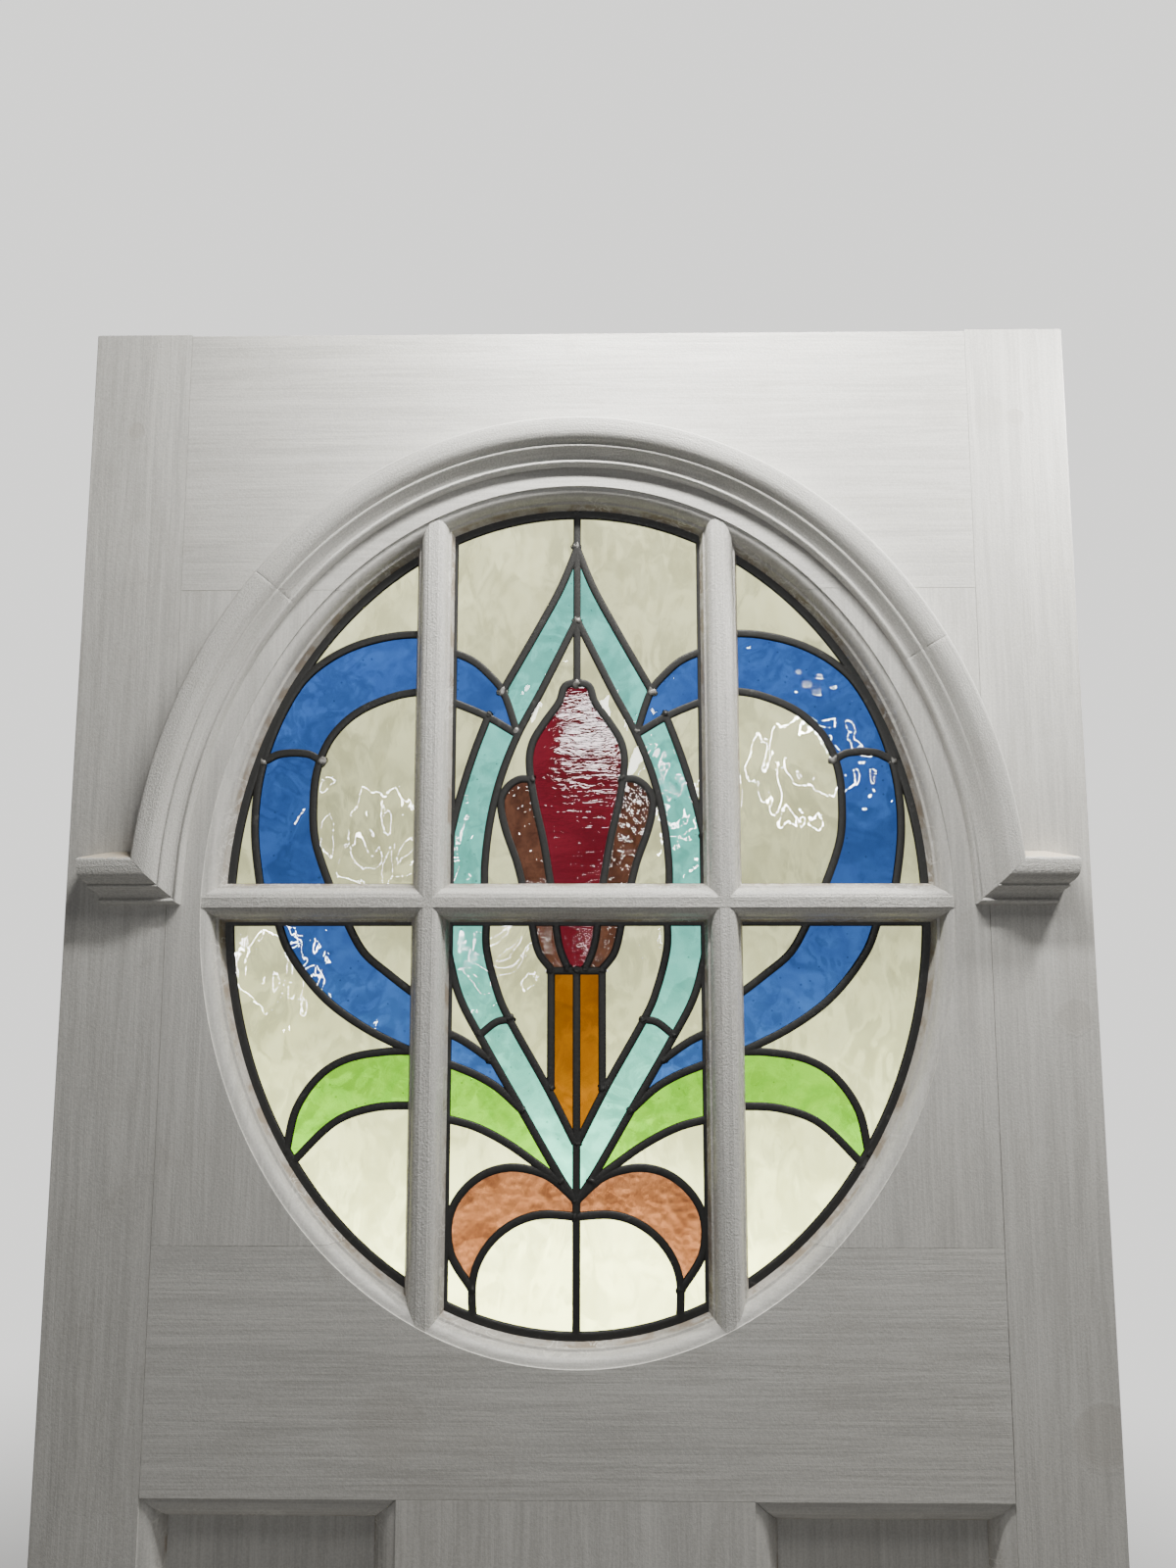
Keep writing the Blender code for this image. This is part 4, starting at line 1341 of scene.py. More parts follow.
@dataclass
class HoodMould:
    """The raised mould over the oval: an arch of three lengths and two level ears."""

    plan: DoorPlan
    material: bpy.types.Material
    ear_material: bpy.types.Material
    sides: int = 144
    joints: tuple[float, ...] = (33.0, 137.0)  # degrees round the arch
    joint_depth: float = 0.5 * MM
    joint_half_angle: float = 0.14

    def mitre(self, across: float) -> Vector:
        """X from the oval's middle, and Z, on the mitre between the arch and an ear.

        Args:
            across: distance outside the oval's edge.
        Returns:
            The point, for the right-hand ear.
        """
        oval = self.plan.oval
        z = oval.centre_z + HOOD_FOOT + across - HOOD_CLEARANCE
        turn = math.asin((z - oval.centre_z) / (oval.half_height + across))
        return Vector((oval.point(turn, -across).x - oval.centre_x, z))

    def arch(self) -> bpy.types.Object:
        """Arch over the upper half of the oval, with hair joints between its lengths.

        Returns:
            The arch.
        """
        plan, section = self.plan, Section.hood()
        ends = {}
        for way in (1, -1):
            ends[way] = [Vector((plan.oval.centre_x + way * self.mitre(point.x).x, plan.front - point.y,
                                 self.mitre(point.x).y)) for point in section]
        mitre_top = ends[1][-1].z
        angles = [(180.0 * side / self.sides, 0.0) for side in range(1, self.sides)]
        for joint in self.joints:
            angles += [(joint - self.joint_half_angle, 0.0), (joint, self.joint_depth),
                       (joint + self.joint_half_angle, 0.0)]
        rings = [ends[1]]
        for angle, sink in sorted(angles):
            ring = []
            for point in section:
                spot = plan.oval.point(math.radians(angle), -point.x)
                ring.append(Vector((spot.x, plan.front - max(point.y - sink, GAP), spot.y)))
            if min(spot.z for spot in ring) > mitre_top:
                rings.append(ring)
        return as_object("hood_arch_timber", skin(rings + [ends[-1]]), [self.material])

    def ear(self, side: str, way: int) -> bpy.types.Object:
        """Level ear from its mitre to the return at its tip.

        Args:
            side: left or right, for its name.
            way: -1 for left, 1 for right.
        Returns:
            The ear.
        """
        plan = self.plan
        mitre, nose, wall = [], [], []
        for point in Section.hood():
            spot = self.mitre(point.x)
            reach = plan.oval.centre_x + way * (EAR_REACH + point.y - GAP)
            mitre.append(Vector((plan.oval.centre_x + way * (spot.x + GAP), plan.front - point.y, spot.y)))
            nose.append(Vector((reach, plan.front - point.y, spot.y)))
            wall.append(Vector((reach, plan.front - GAP, spot.y)))
        bm = skin([mitre, nose, wall])
        bmesh.ops.remove_doubles(bm, verts=bm.verts, dist=GAP / 10)
        bmesh.ops.dissolve_degenerate(bm, dist=GAP / 10, edges=bm.edges)
        bmesh.ops.recalc_face_normals(bm, faces=bm.faces)
        return as_object(f"hood_return_{side}_timber", bm, [self.ear_material])

    def build(self) -> None:
        """Makes the arch and both ears."""
        for number, (piece, node) in enumerate((
                (self.arch(), "hood_arch"), (self.ear("left", -1), "hood_return_left"),
                (self.ear("right", 1), "hood_return_right"))):
            shade_timber(piece, 38.0)
            mark(piece, "board", HOOD_SHIFT * number)
            place(piece, "hood_timber", node)


@dataclass
class LeadedLight:
    """One leaded light: its lead network with solder, its panes and the bead behind it."""

    name: str
    column: Column
    row: Row
    leads: dict[str, Points]
    panes: dict[str, tuple[Point, str]]
    plan: DoorPlan
    lead: bpy.types.Material
    solder: bpy.types.Material
    timber: bpy.types.Material
    glass: dict[str, bpy.types.Material]
    number: int
    lead_step: float = 3.0  # in mm
    blob_size: float = 4.3 * MM
    bright_blob_size: float = 5.3 * MM
    blob_rise: float = 0.55 * MM  # how far solder stands out of the came
    slit_play: float = 0.1 * MM
    sheet_margin: float = 4.0 * MM

    @property
    def bar_sight(self) -> float:
        """From the middle of an upright bar to the sight line of the lead beside it."""
        return BAR_WIDTH / 2 + (BAR_SIGHT if self.column is Column.MIDDLE else 0.0)

    @property
    def level_sight(self) -> float:
        """From the middle of the level bar to the sight line of the lead beside it."""
        return BAR_WIDTH / 2 + (LEVEL_SIGHT if self.row is Row.LOWER else GAP)

    def plate(self, inset: float, bar_inset: float, level_inset: float, front: float,
              back: float) -> bmesh.types.BMesh:
        """Flat plate in the light's outline.

        Args:
            inset: distance inside the oval's edge.
            bar_inset: distance from the middle of the upright bars.
            level_inset: distance from the middle of the level bar.
            front: Y of its front.
            back: Y of its back.
        Returns:
            The closed plate.
        """
        oval, row, column = self.plan.oval, self.row.value, self.column.value
        bm = skin([oval.ring(inset, y, OVAL_SIDES) for y in (front, back)])
        planes = [((0.0, 0.0, self.plan.level_bar_z + row * level_inset), (0.0, 0.0, -row))]
        if column:
            x = oval.centre_x + column * (BAR_OFFSET + bar_inset)
            planes.append(((x, 0.0, 0.0), (-column, 0.0, 0.0)))
        else:
            planes += [((oval.centre_x + way * (BAR_OFFSET - bar_inset), 0.0, 0.0), (way, 0.0, 0.0))
                       for way in (-1, 1)]
        for spot, normal in planes:
            geometry = bm.verts[:] + bm.edges[:] + bm.faces[:]
            cut = bmesh.ops.bisect_plane(bm, geom=geometry, plane_co=spot, plane_no=normal, clear_outer=True)
            bmesh.ops.contextual_create(bm, geom=of_kind(cut["geom_cut"], bmesh.types.BMEdge))
        return bm

    def ways(self, points: Points) -> tuple[int, ...]:
        """Sides of the door that a lead or a pane is on: both in a middle light, unless it is centred.

        Args:
            points: its points on the right-hand half.
        Returns:
            -1 for left and 1 for right.
        """
        if self.column is Column.MIDDLE:
            return (1,) if sum(across for across, _ in points) == 0 else (1, -1)
        return (self.column.value,)

    def spot(self, across: float, up: float, way: int) -> Vector:
        """X and Z of a point that is given in mm from the oval's middle."""
        oval = self.plan.oval
        return Vector((oval.centre_x + way * across * MM, oval.centre_z + up * MM))

    def runs(self) -> list[list[Vector]]:
        """Smooth centre line of every lead.

        Returns:
            The lines in X and Z.
        """
        lines = []
        for points in self.leads.values():
            curve = smooth_run(points, self.lead_step)
            lines += [[self.spot(spot.x, spot.y, way) for spot in curve] for way in self.ways(points)]
        return lines

    def border(self) -> list[bmesh.types.BMesh]:
        """Border cames along the oval and beside the bars.

        Returns:
            One closed strip for each.
        """
        oval, plan, row, column = self.plan.oval, self.plan, self.row.value, self.column.value
        sight = STICKING_WIDTH + BORDER_SIGHT
        start, end = {Column.RIGHT: (-8, 76), Column.MIDDLE: (50, 130), Column.LEFT: (104, 188)}[self.column]
        turns = [math.radians(row * angle) for angle in range(start, end + 1)]
        arc = [oval.point(turn, sight) for turn in turns]
        came = Section.border_came(BORDER_LEAF)
        strips = [swept(came, arc, plan.lead_front, side=row)]
        level_z = plan.level_bar_z + row * self.level_sight
        level = [Vector((oval.centre_x + way * oval.half_width, level_z)) for way in (-1, 1)]
        strips.append(swept(came, level, plan.lead_front, side=row))
        beyond = 1 if column else -1
        for way in ((column,) if column else (-1, 1)):
            x = oval.centre_x + way * (BAR_OFFSET + beyond * self.bar_sight)
            line = [Vector((x, oval.centre_z + end * oval.half_height)) for end in (-1, 1)]
            strips.append(swept(came, line, plan.lead_front, side=-way * beyond))
        return strips

    def blob(self, spot: Vector, index: int) -> bmesh.types.BMesh:
        """Solder on a joint, front and back, a low uneven dome.

        Args:
            spot: the joint in X and Z.
            index: a number of its own.
        Returns:
            The closed dome.
        """
        bm = bmesh.new()
        bmesh.ops.create_icosphere(bm, subdivisions=3, radius=1.0)
        bright = any((spot - self.spot(*joint, way)).length < JOINT_REACH for joint in BRIGHT_JOINTS
                     for way in (1, -1))
        size = (self.bright_blob_size if bright else self.blob_size) * (1.0 + 0.14 * math.sin(2.3 * index))
        for vert in bm.verts:
            vert.co *= 1.0 + 0.34 * noise.noise(vert.co * 1.5 + Vector((index, 0.0, 0.0)))
        bmesh.ops.scale(bm, vec=(size, LEAD_THICKNESS / 2 + self.blob_rise, size), verts=bm.verts)
        middle = (self.plan.lead_front + self.plan.lead_back) / 2
        bmesh.ops.translate(bm, vec=(spot.x, middle, spot.y), verts=bm.verts)
        for face in bm.faces:
            face.material_index = int(bright)
        return bm

    def network(self) -> None:
        """All the cames of the light with their solder, as one piece."""
        plan, runs = self.plan, self.runs()
        finishes = [self.lead, self.solder]
        came = Section.came(LEAD_WIDTH)
        strips = [swept(came, run, plan.lead_front) for run in runs] + self.border()
        ends = [end for run in runs for end in (run[0], run[-1])]
        joints: list[Vector] = []
        for end in ends:
            if all((end - other).length > LEAD_WIDTH for other in joints):
                joints.append(end)
        strips += [self.blob(joint, index) for index, joint in enumerate(joints)]
        first, *others = [as_object(f"{self.name} strip", strip, finishes) for strip in strips]
        first.name = f"{self.name}_lead_network"
        carve(first, others, Cut.JOINED)
        tongue = TONGUE_HALF + GAP
        room = self.plate(REBATE_OFFSET + GAP, tongue, tongue, plan.front, plan.back)
        carve(first, [as_object("lead room", room)], Cut.COMMON)
        shade(first, 50.0)
        place(first, "lead", f"{self.name}_leads")

    def islands(self, obj: bpy.types.Object) -> list[bmesh.types.BMesh]:
        """Separate closed bodies of an object, left to right and top to bottom.

        Args:
            obj: the object.
        Returns:
            A bmesh for each body.
        """
        whole = bmesh.new()
        whole.from_mesh(obj.data)
        whole.faces.ensure_lookup_table()
        left = set(range(len(whole.faces)))
        groups = []
        while left:
            queue, group = [whole.faces[min(left)]], set()
            while queue:
                face = queue.pop()
                if face.index in group:
                    continue
                group.add(face.index)
                queue += [other for bm_edge in face.edges for other in bm_edge.link_faces]
            left -= group
            groups.append(group)
        bodies = []
        for group in groups:
            copy = whole.copy()
            copy.faces.ensure_lookup_table()
            others = [face for face in copy.faces if face.index not in group]
            bmesh.ops.delete(copy, geom=others, context="FACES")
            bodies.append(copy)
        whole.free()
        bodies.sort(key=lambda body: (round(min(vert.co.x for vert in body.verts), 2),
                                      round(-max(vert.co.z for vert in body.verts), 2),
                                      round(max(vert.co.x for vert in body.verts), 2)))
        return bodies

    def sheet(self, finish: GlassFinish, low: Vector, high: Vector, shift: float) -> bmesh.types.BMesh:
        """Piece of sheet glass with its relief, a little larger than a pane.

        Args:
            finish: the kind of glass.
            low: the pane's lowest corner.
            high: the pane's highest corner.
            shift: a number of the pane's own.
        Returns:
            The closed sheet.
        """
        bm = bmesh.new()
        width, height = high.x - low.x + self.sheet_margin, high.z - low.z + self.sheet_margin
        bmesh.ops.create_grid(bm, x_segments=max(2, round(width / finish.pitch)),
                              y_segments=max(2, round(height / finish.pitch)), size=0.5)
        middle = (low + high) / 2
        for vert in bm.verts:
            vert.co = Vector((middle.x + vert.co.x * width, 0.0, middle.z + vert.co.y * height))
        back = bmesh.ops.extrude_face_region(bm, geom=bm.faces[:])["geom"]
        behind = set(of_kind(back, bmesh.types.BMVert))
        centre = (self.plan.lead_front + self.plan.lead_back) / 2
        for vert in bm.verts:
            if vert in behind:
                rise = 0.5 * finish.lift(vert.co.x, vert.co.z, shift + BACK_SHIFT)
                vert.co.y = centre + GLASS_THICKNESS / 2 + rise
            else:
                vert.co.y = centre - GLASS_THICKNESS / 2 - finish.lift(vert.co.x, vert.co.z, shift)
        bmesh.ops.recalc_face_normals(bm, faces=bm.faces)
        return bm

    def seeds(self) -> list[tuple[str, Vector, str]]:
        """Node name, place and glass of every coloured pane.

        Returns:
            One row for each pane.
        """
        found = []
        for piece, (seed, glass) in self.panes.items():
            for way in self.ways([seed]):
                side = "" if seed[0] == 0 else ("_right" if way > 0 else "_left")
                found.append((f"{piece}_glass{side}", self.spot(*seed, way), glass))
        return found

    def glaze(self) -> None:
        """Cuts the light's outline along the hearts of the leads and sets a pane in each opening."""
        plan, sight = self.plan, STICKING_WIDTH + BORDER_SIGHT
        front, back = plan.front, plan.back
        blank = as_object("blank", self.plate(sight - GRIP, self.bar_sight - GRIP, self.level_sight - GRIP,
                                              front, back))
        half, deep = HEART_WIDTH / 2 + self.slit_play, back - front + 2 * OVERSHOOT
        slit = [Vector(point) for point in ((-half, 0.0), (half, 0.0), (half, deep), (-half, deep))]
        hearts = [as_object("heart", swept(slit, lengthened(run, HEART_REACH), front - OVERSHOOT))
                  for run in self.runs()]
        carve(blank, hearts, Cut.AWAY)
        seeds, clear = self.seeds(), 0
        for index, body in enumerate(self.islands(blank)):
            tree = BVHTree.FromBMesh(body)
            hits = [seed for seed in seeds if tree.ray_cast(
                Vector((seed[1].x, front - OVERSHOOT, seed[1].y)), Vector((0.0, 1.0, 0.0)))[0]]
            if hits:
                node, _, glass = hits[0]
                name = f"{node}_pane"
            else:
                clear += 1
                node, glass, name = "", "clear", f"{self.name}_clear_glass_{clear}"
            finish = GLASSES[glass]
            low = Vector([min(vert.co[axis] for vert in body.verts) for axis in range(3)])
            high = Vector([max(vert.co[axis] for vert in body.verts) for axis in range(3)])
            shift = PANE_SHIFT * (index + 1) + LIGHT_SHIFT * self.number
            pane = as_object(name, self.sheet(finish, low, high, shift), [self.glass[glass]])
            carve(pane, [as_object("pane outline", body)], Cut.COMMON)
            shade(pane, 40.0)
            mark(pane, "pane", shift)
            place(pane, f"{glass}_glass", *([node] if node else []))
        remove(blank)

    def bead(self) -> None:
        """Ring of glazing bead behind the light."""
        plan = self.plan
        front, tongue = plan.lead_back + GAP, TONGUE_HALF + GAP
        ring = as_object(f"{self.name}_bead_timber", self.plate(
            REBATE_OFFSET + GAP, tongue, tongue, front, front + BEAD_THICKNESS), [self.timber])
        hole = self.plate(STICKING_WIDTH, BAR_WIDTH / 2, BAR_WIDTH / 2, front - OVERSHOOT,
                          front + BEAD_THICKNESS + OVERSHOOT)
        carve(ring, [as_object("bead hole", hole)], Cut.AWAY)
        DoorFrame.dress(ring, FIRST_BEAD + self.number, f"{self.name}_bead")

    def build(self) -> None:
        """Makes the light from front to back."""
        self.network()
        self.glaze()
        self.bead()


# Centre lines of the leads on the right-hand half, and a point in each coloured pane. They are in mm, across
# and up from the oval's middle.
UPPER_SIDE_LEADS: dict[str, Points] = {
    "sweep outer": ((138, 255), (170, 253.5), (205, 245), (235, 229.5), (258, 208), (278, 171), (291, 131),
                    (296, 95), (295.5, 60), (288, 10)),
    "sweep inner": ((138, 201), (170, 195.7), (205, 180), (228, 157), (240, 128), (243, 95), (240, 60),
                    (222, 10)),
    "sweep joint": ((237, 135), (250, 141.5), (275, 141.5), (291, 134)),
}
UPPER_MIDDLE_LEADS: dict[str, Points] = {
    "stem": ((0, 374), (0, 208)),
    "flame outer": ((-1, 340), (15, 300), (36, 260), (69.5, 200)),
    "flame inner": ((0, 268), (33.5, 200), (54.5, 160), (70, 120), (79.5, 80), (84, 40), (84, 10)),
    "leaf edge": ((82, 178), (96, 140), (108, 100), (116, 66)),
    "wing upper": ((118, 238.5), (97, 229), (81, 215), (69, 200), (56, 163)),
    "wing lower": ((118, 191), (85, 177), (56, 160)),
    "bud": ((-2, 209), (11, 205), (16.5, 190), (30.5, 170), (41, 152), (44, 133), (39.5, 100), (30.5, 60),
            (22, 10)),
    "sepal": ((42, 117.5), (53, 117.5), (64, 110), (70, 97), (66, 73), (54.5, 40), (47, 10)),
}
LOWER_SIDE_LEADS: dict[str, Points] = {
    "band upper": ((212, -8), (193.5, -40), (170, -60), (138, -84)),
    "band lower": ((274, -8), (261, -40), (229, -80), (190, -108), (138, -133)),
    "leaf upper": ((138, -128.5), (170, -128.7), (205, -135), (230, -150), (250, -179), (258, -216)),
    "leaf lower": ((138, -175.5), (180, -177.5), (215, -190), (254, -227)),
}
LOWER_MIDDLE_LEADS: dict[str, Points] = {
    "stem": ((0, -57), (0, -378)),
    "stem side": ((23, -57), (23, -160)),
    "stem cap": ((-25, -57), (25, -57)),
    "bud tip": ((20, -8), (15.5, -36), (8, -55)),
    "sepal tip": ((42, -8), (34.5, -40), (22, -57)),
    "flame inner": ((82, -8), (81.5, -38), (70, -80), (60, -101), (26, -160), (1, -208)),
    "leaf edge": ((117, -38), (105.5, -80), (84, -120), (48.5, -180), (14, -238), (0, -258)),
    "leaf joint": ((60, -100), (72, -102.5), (87, -114)),
    "wing upper": ((118, -111), (100, -120), (78, -135)),
    "wing lower": ((118, -138), (90, -149), (70, -160.5), (48, -180)),
    "leaf lower": ((118, -186.5), (90, -194), (60, -209), (28, -231), (14, -241)),
    "curl outer": ((0, -257), (22, -238), (40, -231), (60, -229), (80, -234), (97, -246), (109, -263),
                   (113, -283), (109, -305), (91, -332)),
    "curl inner": ((-1, -270.5), (30, -269), (52, -275), (72, -289), (86, -309), (91, -330), (89, -368)),
}
BRIGHT_JOINTS = ((0, 330), (0, 268), (0, 210), (69, 203), (56, 163), (76, 97), (285, 142), (240, 137))
JOINT_REACH = 12 * MM
UPPER_SIDE_PANES = {"sweep_upper": ((215, 205), "blue"), "sweep_lower": ((268, 80), "blue")}
UPPER_MIDDLE_PANES = {
    "bud": ((0, 100), "red"), "sepal": ((50, 90), "brown"), "flame_upper": ((30, 240), "turquoise"),
    "flame_lower": ((96, 80), "turquoise"), "wing": ((100, 207), "blue"),
}
LOWER_SIDE_PANES = {"band": ((211, -60), "blue"), "leaf": ((205, -158), "green")}
LOWER_MIDDLE_PANES = {
    "bud_tip": ((0, -30), "red"), "sepal_tip": ((28, -25), "brown"), "stem": ((12, -110), "amber"),
    "flame_foot": ((95, -50), "turquoise"), "flame_root": ((50, -140), "turquoise"),
    "wing_tip": ((98, -134), "blue"), "leaf_inner": ((80, -176), "green"), "curl": ((60, -254), "rose"),
}
LIGHTS = (
    ("upper_left", Column.LEFT, Row.UPPER, UPPER_SIDE_LEADS, UPPER_SIDE_PANES),
    ("upper_middle", Column.MIDDLE, Row.UPPER, UPPER_MIDDLE_LEADS, UPPER_MIDDLE_PANES),
    ("upper_right", Column.RIGHT, Row.UPPER, UPPER_SIDE_LEADS, UPPER_SIDE_PANES),
    ("lower_left", Column.LEFT, Row.LOWER, LOWER_SIDE_LEADS, LOWER_SIDE_PANES),
    ("lower_middle", Column.MIDDLE, Row.LOWER, LOWER_MIDDLE_LEADS, LOWER_MIDDLE_PANES),
    ("lower_right", Column.RIGHT, Row.LOWER, LOWER_SIDE_LEADS, LOWER_SIDE_PANES),
)


@dataclass(frozen=True)
class SoftLamp:
    """Area lamp, which isn't seen itself."""

    name: str
    power: float  # in watts
    place: tuple[float, float, float]
    size: tuple[float, float]  # length along X, and width
    aim: tuple[float, float, float] = (0.0, 0.35, -0.94)
    colour: Colour = (1.0, 0.98, 0.93)

    def hang(self) -> None:
        """Adds the lamp to the scene."""
        data = bpy.data.lights.new(self.name, "AREA")
        data.energy = self.power
        data.color = self.colour
        data.shape = "RECTANGLE"
        data.size, data.size_y = self.size
        lamp = bpy.data.objects.new(self.name, data)
        lamp.location = self.place
        lamp.rotation_euler = Vector(self.aim).to_track_quat("-Z", "Y").to_euler()
        lamp.visible_camera = lamp.visible_transmission = False
        bpy.context.scene.collection.objects.link(lamp)


# A strip lamp close above the door's head, which grazes its face, a short one beside it and a weak high one
LAMPS = (
    SoftLamp("Head lamp", 12.2, (0.56, -0.300, 1.316), (0.46, 0.05)),
    SoftLamp("Side lamp", 9.0, (1.15, -0.185, 1.125), (0.08, 0.05)),
    SoftLamp("Room lamp", 9.0, (0.85, -0.90, 2.15), (0.30, 0.30), (0.0, 0.45, -0.90)),
)


@dataclass
class Studio:
    """Camera, pale floor, soft lights and a pale surround."""

    plan: DoorPlan
    lens: float = 27.0
    sensor: float = 36.0
    camera_place: tuple[float, float, float] = (0.482, -1.0719, 0.4976)
    camera_turn: tuple[float, float, float] = (97.5, 0.0, 0.786)
    lamp_y: float = -2.6
    ring_width: float = 0.006
    # Place across, height, radius and strength of each ring
    rings: tuple[tuple[float, float, float, float], ...] = (
        (1.09, 1.04, 0.13, 440.0), (0.66, 0.92, 0.10, 240.0), (-0.18, 0.80, 0.14, 200.0),
        (-0.55, 0.40, 0.12, 240.0), (0.14, 0.45, 0.08, 160.0), (0.46, 0.48, 0.04, 60.0))
    panel: tuple[float, float, float, float] = (0.35, 0.54, 1.08, 1.23)  # x from and to, z from and to
    panel_strength: float = 46.0

    def camera(self) -> None:
        """Camera at the photograph's angle."""
        data = bpy.data.cameras.new("Camera")
        data.sensor_fit = "VERTICAL"
        data.sensor_height = self.sensor
        data.lens = self.lens
        camera = bpy.data.objects.new("Camera", data)
        camera.location = self.camera_place
        camera.rotation_euler = [math.radians(angle) for angle in self.camera_turn]
        bpy.context.scene.collection.objects.link(camera)
        bpy.context.scene.camera = camera

    def glow(self, name: str, bm: bmesh.types.BMesh, x: float, z: float, strength: float) -> None:
        """Stands a lamp up far behind the camera, where it only shows as a reflection in the glass.

        Args:
            name: the lamp's name.
            bm: its shape, lying flat round the origin.
            x: its place across.
            z: its height.
            strength: how bright it shines.
        """
        bmesh.ops.rotate(bm, matrix=Matrix.Rotation(math.radians(90.0), 3, "X"), verts=bm.verts)
        bmesh.ops.translate(bm, vec=(x, self.lamp_y, z), verts=bm.verts)
        material = bpy.data.materials.new(name)
        net = cleared(material)
        light = net.add("ShaderNodeEmission")
        light.inputs["Strength"].default_value = strength
        net.put(net.add("ShaderNodeOutputMaterial").inputs["Surface"], light.outputs[0])
        lamp = as_object(name, bm, [material])
        lamp.visible_camera = lamp.visible_diffuse = lamp.visible_transmission = lamp.visible_shadow = False

    def glints(self) -> None:
        """Ring lamps and a broad panel, which the waves of the glass break into loops and streaks."""
        for number, (x, z, radius, strength) in enumerate(self.rings):
            bm = bmesh.new()
            bmesh.ops.create_circle(bm, cap_ends=False, segments=48, radius=radius)
            outer = bmesh.ops.extrude_edge_only(bm, edges=bm.edges[:])["geom"]
            grow = 1.0 + self.ring_width / radius
            bmesh.ops.scale(bm, vec=(grow, grow, grow), verts=of_kind(outer, bmesh.types.BMVert))
            self.glow(f"Ring lamp {number}", bm, x, z, strength)
        x0, x1, z0, z1 = self.panel
        bm = bmesh.new()
        bmesh.ops.create_grid(bm, x_segments=1, y_segments=1, size=0.5)
        bmesh.ops.scale(bm, vec=(x1 - x0, z1 - z0, 1.0), verts=bm.verts)
        self.glow("Panel lamp", bm, (x0 + x1) / 2, (z0 + z1) / 2, self.panel_strength)

    def floor(self) -> None:
        """Round pale floor under the door's foot, which fades into the surround."""
        bm = bmesh.new()
        bmesh.ops.create_circle(bm, cap_ends=True, segments=96, radius=6.0)
        spot = (self.plan.oval.centre_x, 0.0, self.plan.foot - OVERSHOOT)
        bmesh.ops.translate(bm, vec=spot, verts=bm.verts)
        material, net, shader = new_material("Studio floor")
        net.fill(shader, {"Base Color": (0.64, 0.635, 0.62, 1.0), "Roughness": 0.9})
        away = net.add("ShaderNodeVectorMath", operation="LENGTH")
        net.put(away.inputs[0], net.here())
        net.put(shader.inputs["Alpha"], net.step(away.outputs["Value"], 1.7, 4.2, 1.0, 0.0))
        as_object("Floor", bm, [material])

    def surround(self) -> None:
        """Pale surround: dim in front, bright behind the door, brightest low down through the glass."""
        world = bpy.data.worlds.new("Surround")
        bpy.context.scene.world = world
        net = cleared(world)
        way = net.add("ShaderNodeTexCoord").outputs["Generated"]
        parts = net.add("ShaderNodeSeparateXYZ")
        net.put(parts.inputs[0], way)
        up, back = parts.outputs["Z"], parts.outputs["Y"]
        path = net.add("ShaderNodeLightPath")
        front = net.mix(net.step(up, -0.5, 0.4), (0.115, 0.11, 0.105, 1.0), (0.068, 0.068, 0.07, 1.0))
        ambient = net.mix(net.step(back, 0.0, 0.45), front, (0.80, 0.79, 0.77, 1.0))
        seen = net.mix(path.outputs["Is Camera Ray"], ambient, (1.40, 1.39, 1.36, 1.0))
        drop = net.math("POWER", net.math("DIVIDE", net.math("SUBTRACT", 0.10, up), 0.36, clamp=True), 3.0)
        sky = net.mix(net.step(up, 0.08, 0.34), (1.25, 1.25, 1.20, 1.0), (1.80, 1.78, 1.75, 1.0))
        glare = net.mix(drop, sky, (8.0, 8.3, 6.0, 1.0))
        through = net.mix(net.step(back, 0.68, 0.90), (1.50, 1.50, 1.45, 1.0), glare)
        broad = net.step(net.cloud(way, 5.0, 3.0, 0.5), 0.30, 0.70, 0.86, 1.10)
        fine = net.step(net.cloud(way, 30.0, 2.0, 0.5, 0.6), 0.35, 0.65, 0.76, 1.10)
        through = net.mix(1.0, through, net.grey(net.math("MULTIPLY", broad, fine)), "MULTIPLY")
        colour = net.mix(path.outputs["Is Transmission Ray"], seen, through)
        background = net.add("ShaderNodeBackground")
        net.put(background.inputs["Color"], colour)
        net.put(net.add("ShaderNodeOutputWorld").inputs["Surface"], background.outputs[0])

    def build(self) -> None:
        """Sets the whole studio."""
        self.camera()
        for lamp in LAMPS:
            lamp.hang()
        self.glints()
        self.floor()
        self.surround()


def corners(bounds: Sequence[Sequence[float]]) -> list[list[float]]:
    """A box as plain lists of numbers."""
    return [[float(value) for value in corner] for corner in bounds]


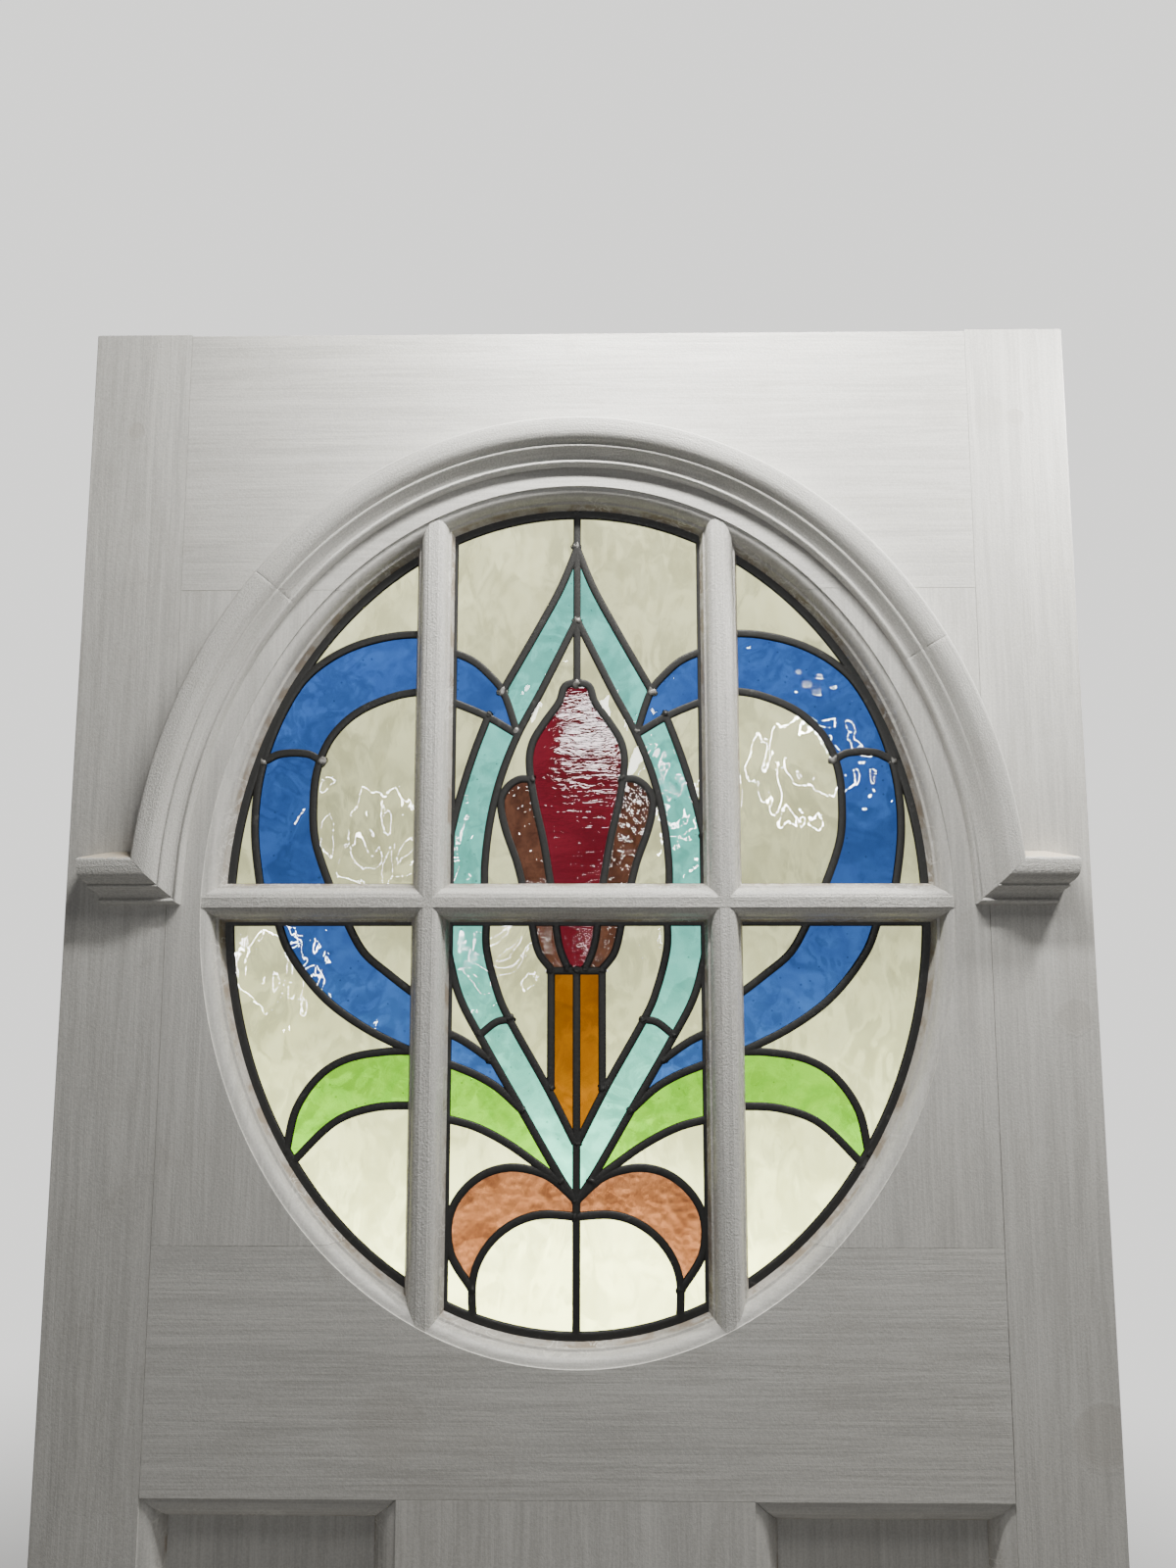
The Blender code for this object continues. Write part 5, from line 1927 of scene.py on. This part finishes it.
def main() -> None:
    """Builds the studio, the door's finishes and its pieces, in order."""
    logging.basicConfig(level=logging.INFO, format="%(message)s")
    noise.seed_set(NOISE_SEED)
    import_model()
    plan = DoorPlan.from_frame()
    Studio(plan).build()
    SharedEffects.build_all()
    upright = PaintFinish("Upright paint", Grain.UPRIGHT, patches=STILE_PATCHES).material(plan)
    level = PaintFinish("Level paint", Grain.LEVEL, patches=RAIL_PATCHES).material(plan)
    sunk = PaintFinish("Panel paint", Grain.UPRIGHT, wear_and_recess_shade=0.0).material(plan)
    rough = {"grit": 2.0, "flecks": 0.45, "grain_strength": 0.25, "brush_depth": 0.38 * MM}
    hood = PaintFinish("Hood paint", Grain.ROUND, patches=HOOD_PATCHES, **rough).material(plan)
    ear = PaintFinish("Ear paint", Grain.ROUND, bare_above=plan.ear_top, **rough).material(plan)
    level_bar = PaintFinish("Level bar paint", Grain.LEVEL, **rough).material(plan)
    upright_bar = PaintFinish("Upright bar paint", Grain.UPRIGHT, **rough).material(plan)
    lead = LeadFinish("Old lead", (0.019, 0.019, 0.018), (0.062, 0.062, 0.058), 0.30, 0.05).material()
    solder = LeadFinish("Solder", (0.11, 0.108, 0.10), (0.46, 0.45, 0.43), 0.60, 0.24).material()
    glass = {key: finish.material() for key, finish in GLASSES.items()}
    frame = DoorFrame(plan, level, upright, sunk)
    frame.build()
    GlazingBars(plan, frame, level_bar, upright_bar).build()
    HoodMould(plan, hood, ear).build()
    for number, (name, column, row, leads, panes) in enumerate(LIGHTS):
        LeadedLight(name, column, row, leads, panes, plan, lead, solder, upright, glass, number).build()


if __name__ == "__main__":
    main()
